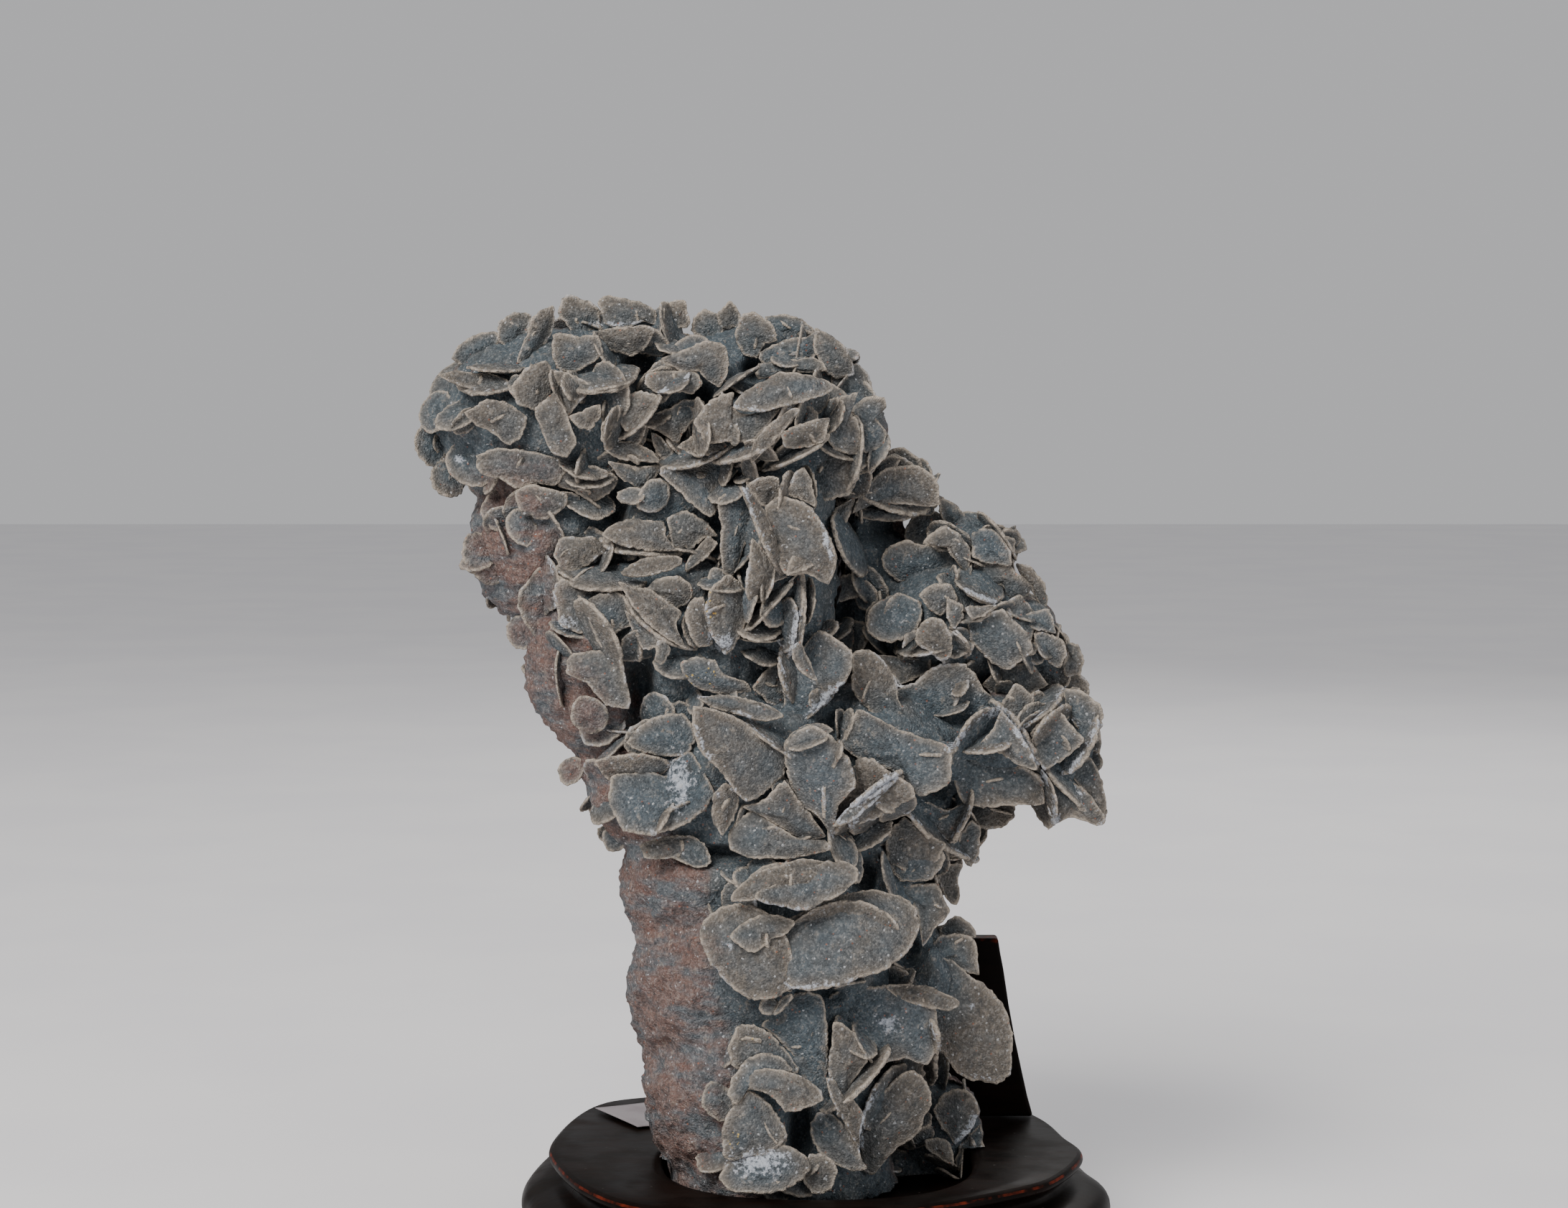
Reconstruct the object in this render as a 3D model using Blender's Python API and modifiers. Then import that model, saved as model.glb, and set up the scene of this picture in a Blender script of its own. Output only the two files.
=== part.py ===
# A gypsum sand rose on a dark lacquered wooden stand, with a support board behind it and a paper label.
# Metres, +Z up, the front towards -Y. The origin is the middle of the stand's underside.
# Every place on the stone is given in millimetres across and up a plane square to the line of sight,
# 658 mm from the eye, and is carried to its depth along that line.
import math
import random

import bmesh
import bpy
from mathutils import Vector

mm = 0.001

# The eye and the plane that places are measured on.
eye = Vector((-7.13, -647.0, 191.0))
view_distance = 658.2
view_pitch = math.radians(4.5)

# The stand.
stand_height = 22.0
socket_depth = 6.0
socket_middle = (0.0, -6.5)
socket_half_width = 33.0
socket_half_depth = 32.5
gap = 0.3

# The support board.
board_front = 27.5
board_thickness = 5.0
board_middle = 34.5
board_edge = [(14.4, 0.0), (11.9, 10.0), (10.3, 17.4), (7.6, 33.3), (6.3, 40.6)]

# The label, as a corner, a direction and two sides.
label_corner = (-50.0, 33.5)
label_turn = math.radians(31.5)
label_length = 22.0
label_width = 20.0
label_thickness = 0.5

# The crystals.
edge_thickness = 1.1
bulge = 0.17
voxel = 2.6
core_faces = 520
back_crystals = 34

# The top outline of the stand, across and back.
stand_outline = [
    (57.0, -2.0), (50.5, -20.5), (41.5, -31.0), (20.0, -44.0), (-8.0, -49.5), (-34.0, -45.0),
    (-48.0, -30.0), (-56.5, -6.0), (-57.5, 12.0), (-51.5, 38.0), (-39.0, 48.0), (-8.0, 54.5),
    (24.0, 52.0), (43.0, 41.5), (51.0, 28.0), (54.5, 12.0),
]

# Height and outward step of the stand's moulding, from the rim down to the foot.
moulding = [
    (22.0, -1.0), (21.2, 0.0), (19.8, 0.0), (18.6, -2.6), (16.2, -2.6), (15.0, 1.8), (13.0, 5.2),
    (9.6, 6.2), (5.6, 4.8), (3.4, 3.4), (0.0, 3.9),
]

# The sandy ground mass: across, up, depth, then half sizes across, up and in depth.
ground = [
    (0.0, -126.0, -6.0, 24.5, 14.0, 27.0),
    (-2.0, -107.0, -6.0, 28.0, 27.0, 26.5),
    (-3.5, -82.0, -5.0, 30.0, 30.0, 25.0),
    (-4.0, -60.0, -4.0, 31.5, 24.0, 24.0),
    (-8.0, -38.0, -4.0, 35.0, 22.0, 23.0),
    (-26.0, -12.0, 0.0, 30.0, 27.0, 21.0),
    (16.0, -34.0, -3.0, 27.0, 17.0, 20.0),
    (47.0, -30.0, -2.0, 14.0, 11.0, 12.0),
    (60.0, -32.0, -3.0, 7.0, 12.0, 9.0),
    (36.0, -5.0, 5.0, 17.0, 14.0, 14.0),
    (49.0, -8.0, 5.0, 11.0, 10.0, 10.0),
    (0.0, 10.0, -5.0, 12.5, 30.0, 17.0),
    (-2.0, 36.0, -2.0, 16.0, 14.0, 18.0),
    (-48.0, 39.5, 8.0, 28.0, 20.5, 19.0),
    (-50.0, 15.0, 8.0, 17.5, 21.0, 17.0),
    (-26.0, 19.0, 3.0, 17.0, 17.0, 14.0),
    (-18.0, 46.0, 8.0, 24.0, 12.0, 15.0),
    (-33.0, 55.0, 8.0, 12.0, 7.0, 9.0),
    (-8.0, 54.0, 9.0, 14.0, 6.5, 9.0),
    (7.0, 49.0, 7.0, 9.0, 8.0, 9.0),
    (23.0, 25.0, 9.0, 9.0, 6.0, 8.0),
    (40.0, 13.0, 8.0, 9.0, 6.0, 9.0),
    (17.0, 3.0, 13.0, 12.0, 22.0, 10.0),
    (22.0, -66.0, 0.0, 12.0, 20.0, 16.0),
    (34.0, -47.0, 3.0, 8.0, 10.0, 9.0),
    (30.0, -82.0, -4.0, 8.0, 12.0, 12.0),
    (13.0, 36.0, 1.0, 9.0, 11.0, 11.0),
    (33.0, -115.0, 9.0, 10.0, 13.0, 12.0),
]

# The crystals of the front: across, up, lift off the ground mass, half length, half width, turn of the
# long axis from level, tip of the face about it (0 faces the eye, 90 is edge on, above 0 faces up).
front_crystals = [
    # Head, left part.
    (-36.5, 63.0, 3, 9.5, 7.0, 0, 55), (-33.0, 56.0, 2, 7.5, 6.0, 0, 50),
    (-66.0, 55.5, 1, 4.5, 4.0, 40, 25), (-51.5, 59.0, 3, 7.0, 5.0, 50, 70), (-47.0, 65.0, 1, 3.5, 3.0, 10, 30),
    (-58.0, 60.5, 0, 5.0, 4.0, -20, 30), (-43.0, 63.5, 0, 5.0, 4.0, 20, 40), (-47.0, 50.5, 2, 7.5, 6.0, 25, 40),
    (-41.5, 43.0, 3, 6.5, 5.0, -15, 50), (-57.0, 50.0, 2, 6.0, 5.0, 30, 60),
    (-62.0, 51.0, 3, 6.5, 5.0, 0, 74), (-64.5, 46.5, 3, 6.0, 5.0, -5, 72), (-71.0, 48.0, 1, 5.5, 4.5, -60, 25),
    (-75.0, 41.5, 0, 5.0, 4.5, 70, 30), (-76.0, 34.5, 0, 5.0, 4.0, -80, 25), (-70.0, 41.0, 2, 6.0, 5.0, 20, 50),
    (-55.0, 44.0, 3, 6.5, 4.5, -80, 50), (-60.0, 38.0, 2, 6.0, 5.0, 10, 30),
    (-38.5, 47.7, 4, 7.0, 5.5, 14, 72), (-37.8, 39.5, 4, 5.5, 5.0, 65, 74), (-48.0, 36.0, 2, 6.0, 5.0, -20, 40),
    (-54.0, 29.5, 2, 7.5, 5.5, 10, 45), (-66.0, 30.0, 1, 7.0, 5.0, -50, 35), (-33.5, 30.0, 2, 7.5, 5.5, 0, -50),
    (-43.0, 27.5, 3, 5.5, 4.5, -10, 74), (-72.5, 27.0, 0, 4.5, 4.0, -60, 20),
    # Head, top.
    (-25.5, 61.0, 2, 4.5, 4.0, 88, 70), (-18.5, 61.5, 1, 5.0, 4.5, -30, 30), (-12.0, 61.5, 1, 4.5, 4.0, 20, 30),
    (-5.5, 59.5, 2, 5.5, 4.5, -30, 45), (3.0, 57.5, 2, 6.5, 5.0, 20, 30), (10.0, 54.5, 1, 5.0, 4.5, -60, 30),
    (-17.5, 52.5, 5, 7.0, 6.0, 0, 30), (-25.0, 51.0, 3, 6.0, 5.0, 60, 35), (0.0, 53.0, 3, 6.5, 5.0, -7, 60),
    (-31.5, 42.5, 3, 6.0, 5.0, 38, 60), (-21.5, 41.5, 3, 6.5, 5.5, 10, 40), (-26.5, 34.5, 3, 6.0, 5.0, -10, 45),
    (-1.0, 45.7, 4, 11.5, 8.5, 6, 60), (-9.0, 40.0, 3, 9.5, 7.0, 5, 38),
    (-3.5, 35.5, 4, 9.5, 6.0, 49, 80), (4.5, 37.5, 3, 6.5, 5.5, 20, 50), (12.0, 41.0, 2, 7.0, 5.0, 78, 45),
    (3.0, 33.0, 4, 7.5, 6.0, 27, 74), (-20.0, 31.5, 3, 7.5, 5.5, 17, 74),
    (14.5, 47.5, 1, 5.5, 5.0, -50, 30), (19.0, 40.0, 0, 6.0, 5.0, 80, 30), (18.5, 33.0, 0, 5.5, 4.5, 60, 40),
    # Middle column.
    (-18.5, 25.0, 3, 9.5, 7.5, -35, 35), (-4.5, 26.0, 3, 6.5, 5.0, -10, 40),
    (5.0, 26.0, 3, 7.0, 4.5, -72, -50), (-3.5, 15.5, 5, 11.5, 7.0, -64, 58), (5.0, 15.0, 4, 10.5, 7.0, -60, -30),
    (5.5, 7.5, 3, 5.5, 4.5, 22, 60), (-11.5, 13.0, 3, 8.5, 5.5, 80, 55), (-6.5, 7.0, 4, 8.0, 5.0, 88, 70),
    (-29.5, 14.7, 4, 9.8, 7.0, 3, 62), (-29.5, 8.5, 3, 8.0, 5.5, 5, -60),
    (-28.5, -0.5, 4, 9.5, 6.0, -40, 42), (-18.0, -3.0, 3, 8.0, 7.0, -10, 25), (-12.0, -1.5, 3, 8.0, 5.5, -70, 30),
    (-3.5, 0.0, 4, 8.0, 5.5, 49, 76), (3.0, -3.5, 4, 7.5, 5.0, 83, 70), (-4.5, -7.0, 3, 5.0, 4.5, 0, 76),
    (10.5, 22.0, 1, 6.0, 5.0, 60, 40), (13.5, 18.5, 0, 5.0, 4.0, 30, 45),
    # Left flank.
    (-50.0, 20.0, 2, 6.0, 4.5, 35, 45), (-42.0, 22.0, 2, 6.0, 5.0, -15, 45), (-64.5, 10.0, 0, 6.5, 5.0, -60, 20),
    (-50.0, 1.5, 3, 9.5, 7.5, 60, 25), (-49.5, 4.5, 4, 6.5, 4.5, 88, 75), (-43.0, 5.5, 4, 7.0, 5.0, -18, 74),
    (-39.5, -3.0, 2, 7.0, 5.5, -50, 30), (-43.0, -13.5, 2, 6.0, 4.5, -10, 60),
    (-37.5, -19.0, 2, 7.0, 5.5, -50, 35), (-46.0, -36.0, 0, 3.5, 3.0, 60, 20),
    (-36.5, -50.5, 0, 3.0, 3.0, 70, 20), (-56.5, -6.0, 0, 4.0, 4.0, 80, 20),
    # Middle left.
    (-26.0, -28.5, 3, 8.5, 6.5, 20, 35), (-33.0, -37.0, 3, 8.5, 6.5, -5, 45), (-25.0, -41.0, 5, 11.0, 8.5, 35, 30),
    (-19.5, -49.0, 3, 8.0, 6.5, 10, 35), (-27.0, -52.5, 1, 5.5, 4.0, -5, 50), (-12.7, -44.0, 4, 6.5, 4.5, 80, 55),
    (-11.0, -31.0, 4, 11.5, 9.0, -45, 15), (-8.0, -22.0, 5, 8.5, 6.0, -12, 68), (-16.0, -15.5, 3, 7.5, 5.5, 0, 35),
    (-4.0, -28.5, 5, 6.5, 5.5, -42, 78),
    (-4.0, -50.5, 3, 7.5, 6.0, -10, 35),
    # Middle.
    (3.0, -16.0, 4, 15.0, 9.5, 50, -20), (0.5, -17.5, 6, 5.5, 4.5, -85, 80), (20.5, -18.0, 4, 11.0, 7.5, -30, 40),
    (34.0, -21.5, 5, 12.0, 9.5, 38, 20), (25.0, -31.0, 2, 14.0, 10.0, -28, 12), (20.0, -41.0, 3, 10.5, 8.0, -35, 20),
    (9.0, -33.0, 5, 10.5, 7.0, -55, 35), (3.5, -41.5, 4, 7.0, 5.5, -60, 72), (12.5, -44.0, 5, 10.0, 6.5, -78, 50),
    (18.0, -41.5, 6, 6.5, 5.0, 40, 76), (19.0, -45.0, 6, 7.0, 5.0, 47, 76), (17.0, -49.5, 3, 7.0, 5.0, 20, 50),
    (13.5, -54.0, 3, 7.0, 4.5, -65, 50), (2.0, -45.5, 3, 8.0, 5.5, -28, 48), (3.0, -51.5, 2, 7.0, 5.0, -15, 60),
    # Right of the middle and the arm.
    (30.0, -52.5, 2, 9.0, 7.0, -30, 20), (33.5, -49.5, 4, 8.5, 5.5, -38, 76), (39.3, -47.0, 2, 6.0, 4.5, 72, 72),
    (41.0, -52.0, 0, 7.0, 4.5, 85, 45), (36.0, -60.0, 1, 6.0, 4.5, -75, 40), (45.0, -44.5, -4, 5.0, 4.5, 0, 25),
    (45.5, -37.5, 2, 10.0, 7.0, 0, 22), (36.5, -36.0, 2, 6.5, 5.0, -82, 72), (50.8, -27.5, 4, 8.5, 6.0, -58, 78),
    (45.0, -30.5, 4, 6.5, 5.0, 15, 74), (50.0, -18.5, 2, 6.0, 5.5, 0, 30), (55.0, -22.5, 4, 6.5, 5.0, 48, 76),
    (56.5, -27.0, 4, 6.0, 5.0, 47, 78), (62.5, -26.5, 4, 8.0, 5.5, -45, 76), (65.0, -30.0, 2, 8.5, 5.5, 60, 66),
    (64.5, -23.0, 2, 7.0, 5.5, -60, 25), (57.0, -42.0, 3, 7.0, 5.0, -75, 74), (62.5, -39.5, 4, 8.5, 5.5, -47, 74),
    (62.0, -42.0, 1, 6.5, 5.5, -10, 15), (67.0, -41.0, 1, 7.0, 5.0, -75, 45), (51.0, -36.5, 4, 6.5, 4.5, -28, 68),
    # Right cluster.
    (60.0, -12.5, 0, 7.0, 6.0, -60, 20), (48.0, -7.5, 3, 9.0, 7.0, -52, 20), (52.5, 4.0, 0, 6.5, 5.0, -45, 45),
    (46.0, 6.0, 2, 7.0, 5.5, 0, 50), (43.5, 12.5, 1, 6.0, 5.0, -40, 35), (36.0, 17.5, 1, 5.5, 5.0, 20, 35),
    (28.5, 9.5, 3, 8.5, 6.5, 5, 40), (36.0, 11.0, 2, 6.5, 5.0, -30, 50), (41.2, 2.6, 4, 5.5, 4.5, -27, 76),
    (37.5, 0.0, 3, 6.0, 4.5, -70, 72), (24.0, -3.0, 2, 6.5, 5.5, 30, 25), (31.5, -7.5, 3, 7.0, 5.5, -60, 25),
    (27.0, -11.5, 3, 6.5, 5.5, -10, 55), (18.0, -11.5, 2, 7.0, 5.0, -20, 35),
    (25.0, 24.0, 2, 9.0, 7.0, 5, 35), (25.0, 20.5, 4, 7.5, 5.5, 8, 74), (30.5, 16.0, 0, 5.0, 4.5, 30, 30),
    (56.0, -3.0, 0, 4.5, 4.0, -50, 30),
    # Lower stone.
    (2.5, -60.3, 6, 14.0, 7.5, 12, 45), (12.5, -73.0, 6, 17.8, 10.5, 12, 26), (12.0, -68.7, 9, 12.0, 7.0, 5, 48),
    (-8.5, -75.5, 5, 11.5, 9.5, -40, 18), (-5.0, -71.0, 7, 8.0, 6.0, 15, 42), (-12.5, -66.5, 3, 6.5, 5.0, 35, 40),
    (-17.5, -56.5, 1, 5.5, 4.5, -60, 30), (3.0, -91.5, 2, 10.5, 8.0, -50, 20), (19.5, -89.0, 2, 13.0, 10.0, -20, 15),
    (39.3, -92.3, 6, 14.5, 8.5, -51, 20), (35.5, -80.0, 3, 7.5, 5.5, -20, 35), (37.0, -74.0, 0, 7.5, 5.5, -50, 25),
    (31.5, -67.0, 0, 7.0, 5.0, 60, 50), (26.0, -61.0, 1, 6.0, 4.5, -50, 55), (-2.5, -87.0, 3, 4.0, 3.5, -60, 45),
    (-4.0, -97.5, 4, 8.0, 6.0, -58, 30), (-6.5, -103.0, 2, 8.5, 6.5, 55, 35), (0.5, -105.0, 5, 9.3, 6.0, -12, 40),
    (-6.5, -113.0, 5, 9.5, 7.5, -52, 25), (-4.0, -122.0, 5, 10.5, 7.5, 8, 25), (14.0, -105.0, 3, 13.5, 7.0, -68, 40),
    (17.5, -101.5, 6, 8.5, 6.0, 54, 76), (22.0, -101.0, 5, 8.0, 5.5, 50, 72), (24.3, -111.5, 5, 12.3, 7.5, 53, 22),
    (17.5, -113.0, 5, 7.0, 5.0, 84, 66), (27.5, -99.5, 4, 5.5, 4.5, -55, 30), (32.5, -102.0, 2, 7.5, 5.0, 80, 60),
    (11.5, -116.0, 3, 7.5, 6.5, -45, 20), (7.0, -123.0, 3, 5.5, 4.5, 40, 30), (27.5, -121.0, 3, 6.0, 5.0, 10, 30),
    (34.0, -117.0, 2, 6.0, 4.5, -60, 40), (37.5, -110.5, 0, 7.5, 6.0, 60, 25), (40.0, -118.5, 0, 7.0, 4.5, 85, 40),
]


def spot(across, up, depth):
    """The point in millimetres that is seen at this place and lies at this depth, and the scale there."""
    x = across / view_distance
    z = up / view_distance
    ray = Vector((
        x,
        math.cos(view_pitch) + z * math.sin(view_pitch),
        z * math.cos(view_pitch) - math.sin(view_pitch),
    ))
    far = (depth - eye.y) / ray.y
    return eye + far * ray, far / view_distance


def seen_at(point):
    """Where a point in millimetres is seen, across and up the measuring plane."""
    line = point - eye
    far = line.y * math.cos(view_pitch) - line.z * math.sin(view_pitch)
    rise = line.y * math.sin(view_pitch) + line.z * math.cos(view_pitch)
    return line.x / far * view_distance, rise / far * view_distance


def ground_depth(across, up):
    """Depth of the nearest face of the ground mass at this place, or of its outline beside it."""
    nearest = None
    outside = []
    for row in ground:
        left = 1 - ((across - row[0]) / row[3]) ** 2 - ((up - row[1]) / row[4]) ** 2
        outside.append((-left, row[2]))
        if left > 0:
            face = row[2] - row[5] * math.sqrt(left)
            nearest = face if nearest is None else min(nearest, face)
    return min(outside)[1] if nearest is None else nearest


def material(name, colour, roughness, coat=0.0):
    made = bpy.data.materials.new(name)
    made.use_nodes = True
    surface = made.node_tree.nodes["Principled BSDF"]
    surface.inputs["Base Color"].default_value = (*colour, 1.0)
    surface.inputs["Roughness"].default_value = roughness
    surface.inputs["Coat Weight"].default_value = coat
    made.diffuse_color = (*colour, 1.0)
    return made


def mesh_object(name, points, faces, collection):
    """An object from points in millimetres, with its faces turned outwards."""
    mesh = bpy.data.meshes.new(name)
    mesh.from_pydata([tuple(c * mm for c in point) for point in points], [], faces)
    shape = bmesh.new()
    shape.from_mesh(mesh)
    bmesh.ops.recalc_face_normals(shape, faces=shape.faces)
    shape.to_mesh(mesh)
    shape.free()
    made = bpy.data.objects.new(name, mesh)
    collection.objects.link(made)
    return made


def helper(made):
    made.hide_render = True
    made.display_type = "WIRE"
    return made


def lens(middle, long_side, short_side, normal, half_length, half_width, jitter):
    """Points and faces of one crystal: a thin plate with flat faces and an uneven rounded outline."""
    sides = 5 if half_length < 4.8 else 6 if half_length < 11 else 8
    plate = bmesh.new()
    bmesh.ops.create_cone(plate, cap_ends=True, segments=sides, radius1=1, radius2=1, depth=1)
    start = jitter.uniform(-0.2, 0.2)
    reach = [1 + jitter.uniform(-0.08, 0.06) for _ in range(sides)]
    thickness = edge_thickness + bulge * half_width
    points = []
    for v in plate.verts:
        turn = math.atan2(v.co.y, v.co.x)
        out = reach[round(turn / math.tau * sides) % sides]
        points.append(
            middle
            + long_side * (half_length * out * math.cos(turn + start))
            + short_side * (half_width * out * math.sin(turn + start))
            + normal * (v.co.z * thickness)
        )
    faces = [tuple(v.index for v in face.verts) for face in plate.faces]
    plate.free()
    return points, faces


def seen_lens(row, jitter):
    """A crystal of the front, from its row of the table."""
    across, up, lift, half_length, half_width, turn, tip = row
    middle, scale = spot(across, up, ground_depth(across, up) - lift)
    turn = math.radians(turn + jitter.uniform(-2, 2))
    tip = math.radians(tip)
    right = Vector((1, 0, 0))
    rise = Vector((0, math.sin(view_pitch), math.cos(view_pitch)))
    near = Vector((0, -math.cos(view_pitch), math.sin(view_pitch)))
    along = right * math.cos(turn) + rise * math.sin(turn)
    cross = rise * math.cos(turn) - right * math.sin(turn)
    normal = near * math.cos(tip) + cross * math.sin(tip)
    short_side = cross * math.cos(tip) - near * math.sin(tip)
    return lens(middle, along, short_side, normal, half_length * scale, half_width * scale, jitter)


def inside_ground(across, up, margin):
    """Whether this place lies on the ground mass as it is seen, widened by the margin."""
    return any(
        ((across - row[0]) / (row[3] + margin)) ** 2 + ((up - row[1]) / (row[4] + margin)) ** 2 < 1
        for row in ground
    )


def hidden_lenses(jitter):
    """Crystals over the back and the sides, standing on the ground mass at random."""
    made = []
    while len(made) < back_crystals:
        row = ground[jitter.randrange(len(ground))]
        way = Vector([jitter.gauss(0, 1) for _ in range(3)]).normalized()
        place = (row[0] + row[3] * way.x, row[1] + row[4] * way.z, row[2] + row[5] * way.y)
        buried = any(
            sum(((place[k] - other[k]) / other[3 + k]) ** 2 for k in range(3)) < 0.9
            for other in ground
            if other is not row
        )
        on_bare_side = place[0] < -14 and place[1] < 0 and way.y < 0.55
        at_board = place[0] > 6 and place[1] < -62 and place[2] > 6
        if way.y < 0.15 or buried or on_bare_side or at_board or place[1] < -112:
            continue
        half_length = jitter.uniform(6.0, 11.0)
        outward = Vector((way.x / row[3], way.y / row[5], way.z / row[4])).normalized()
        flat = outward.cross(Vector([jitter.gauss(0, 1) for _ in range(3)])).normalized()
        normal = (flat + outward * jitter.uniform(-0.6, 1.2)).normalized()
        along = normal.cross(outward).normalized()
        short_side = normal.cross(along)
        middle = spot(*place)[0] + outward * half_length * 0.12
        points, faces = lens(middle, along, short_side, normal, half_length, half_length * 0.75, jitter)
        if all(inside_ground(*seen_at(point), 3) for point in points):
            made.append((points, faces))
    return made


def joined(pieces):
    points = []
    faces = []
    for more_points, more_faces in pieces:
        first = len(points)
        points += more_points
        faces += [tuple(first + i for i in face) for face in more_faces]
    return points, faces


def modifier(made, name, kind, **settings):
    added = made.modifiers.new(name, kind)
    for key, value in settings.items():
        setattr(added, key, value)
    return added


def evaluated_mesh(made):
    bpy.context.view_layer.update()
    graph = bpy.context.evaluated_depsgraph_get()
    return bpy.data.meshes.new_from_object(made.evaluated_get(graph))


def keep_outer_shell(mesh):
    """Drops every loose island of faces but the largest, so that no sealed hollow is left."""
    shape = bmesh.new()
    shape.from_mesh(mesh)
    bmesh.ops.remove_doubles(shape, verts=shape.verts, dist=0.002 * mm)
    islands = []
    seen = set()
    for face in shape.faces:
        if face in seen:
            continue
        island = [face]
        seen.add(face)
        for current in island:
            for edge in current.edges:
                for neighbour in edge.link_faces:
                    if neighbour not in seen:
                        seen.add(neighbour)
                        island.append(neighbour)
        islands.append(island)
    islands.sort(key=len)
    loose = [face for island in islands[:-1] for face in island]
    bmesh.ops.delete(shape, geom=loose, context="FACES")
    shape.to_mesh(mesh)
    shape.free()


def smooth_loop(corners, steps):
    """A rounded closed line through the corners."""
    line = []
    count = len(corners)
    for i in range(count):
        a, b, c, d = (Vector(corners[(i + k) % count]) for k in (-1, 0, 1, 2))
        for step in range(steps):
            t = step / steps
            line.append(0.5 * (
                2 * b + (c - a) * t + (2 * a - 5 * b + 4 * c - d) * t * t + (3 * b - a - 3 * c + d) * t ** 3
            ))
    return line


def stepped_out(line, step):
    """The closed line moved outwards by this step."""
    moved = []
    for i, here in enumerate(line):
        way = (line[(i + 1) % len(line)] - line[i - 1]).normalized()
        moved.append(here + Vector((-way.y, way.x)) * step)
    return moved


def stacked(rings):
    """A closed solid through level rings that hold the same number of points, lowest last."""
    count = len(rings[0])
    points = [point for ring in rings for point in ring]
    faces = [tuple(range(count)), tuple(range(count * (len(rings) - 1), count * len(rings)))]
    for level in range(len(rings) - 1):
        for i in range(count):
            j = (i + 1) % count
            a = level * count
            faces.append((a + i, a + j, a + count + j, a + count + i))
    return points, faces


def rounded_drum(name, middle, half_width, half_depth, low, high):
    """A cutter with level ends and a squarish oval outline, made from a cylinder."""
    drum = bmesh.new()
    bmesh.ops.create_cone(drum, cap_ends=True, segments=28, radius1=1, radius2=1, depth=1)
    for v in drum.verts:
        across = half_width * math.copysign(abs(v.co.x) ** 0.8, v.co.x)
        back = half_depth * math.copysign(abs(v.co.y) ** 0.8, v.co.y)
        height = low if v.co.z < 0 else high
        v.co = ((middle[0] + across) * mm, (middle[1] + back) * mm, height * mm)
    mesh = bpy.data.meshes.new(name)
    drum.to_mesh(mesh)
    drum.free()
    made = bpy.data.objects.new(name, mesh)
    cutters.objects.link(made)
    return helper(made)


# Clear the scene.
for old in list(bpy.data.objects):
    bpy.data.objects.remove(old, do_unlink=True)

parts = bpy.data.collections.new("gypsum_sand_rose")
cutters = bpy.data.collections.new("cutters")
bpy.context.scene.collection.children.link(parts)
bpy.context.scene.collection.children.link(cutters)

jitter = random.Random(31)

# Ground mass: overlapping rounded lumps made into one rough, faceted skin.
lumps = []
for row in ground:
    ball = bmesh.new()
    bmesh.ops.create_icosphere(ball, subdivisions=3, radius=1.0)
    points = [
        spot(row[0] + row[3] * v.co.x, row[1] + row[4] * v.co.z, row[2] + row[5] * v.co.y)[0]
        for v in ball.verts
    ]
    lumps.append((points, [tuple(v.index for v in face.verts) for face in ball.faces]))
    ball.free()
rock = helper(mesh_object("ground_mass", *joined(lumps), cutters))
noise = bpy.data.textures.new("rock_noise", "CLOUDS")
noise.noise_scale = 14 * mm
modifier(rock, "skin", "REMESH", mode="VOXEL", voxel_size=voxel * mm)
modifier(rock, "blend", "SMOOTH", factor=0.5, iterations=4)
modifier(
    rock, "roughen", "DISPLACE", texture=noise, texture_coords="GLOBAL", strength=4.5 * mm, mid_level=0.5
)
skin = evaluated_mesh(rock)
skin.calc_loop_triangles()
modifier(rock, "facet", "DECIMATE", ratio=core_faces / len(skin.loop_triangles))

# Crystals: each a closed lens, all in one mesh.
lenses = [seen_lens(row, jitter) for row in front_crystals] + hidden_lenses(jitter)
crystals = helper(mesh_object("crystals", *joined(lenses), cutters))

# What keeps the stone clear of the stand: all below the stand's top, less a plug in its socket.
floor = stand_height - socket_depth + gap
plug = rounded_drum(
    "socket_plug", socket_middle, socket_half_width - 1.5, socket_half_depth - 1.5, floor, stand_height + 20
)
below = rounded_drum("stand_clearance", (0, 0), 95, 95, -40, stand_height + gap)
modifier(below, "leave_socket", "BOOLEAN", operation="DIFFERENCE", solver="EXACT", object=plug)

stone = bpy.data.objects.new("sand_rose", evaluated_mesh(rock))
parts.objects.link(stone)
modifier(stone, "grow", "BOOLEAN", operation="UNION", solver="EXACT", object=crystals, use_self=True)
modifier(stone, "seat", "BOOLEAN", operation="DIFFERENCE", solver="EXACT", object=below)
finished = evaluated_mesh(stone)
stone.modifiers.clear()
stone.data = finished
keep_outer_shell(stone.data)
stone.data.name = "sand_rose"

# Stand: a moulded outline with a socket for the stone.
line = smooth_loop(stand_outline, 2)
rings = [[(x, y, height) for x, y in stepped_out(line, step)] for height, step in moulding]
stand = mesh_object("stand", *stacked(rings), parts)
socket = rounded_drum(
    "socket", socket_middle, socket_half_width, socket_half_depth, stand_height - socket_depth, stand_height + 5
)
modifier(stand, "socket", "BOOLEAN", operation="DIFFERENCE", solver="EXACT", object=socket)

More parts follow.
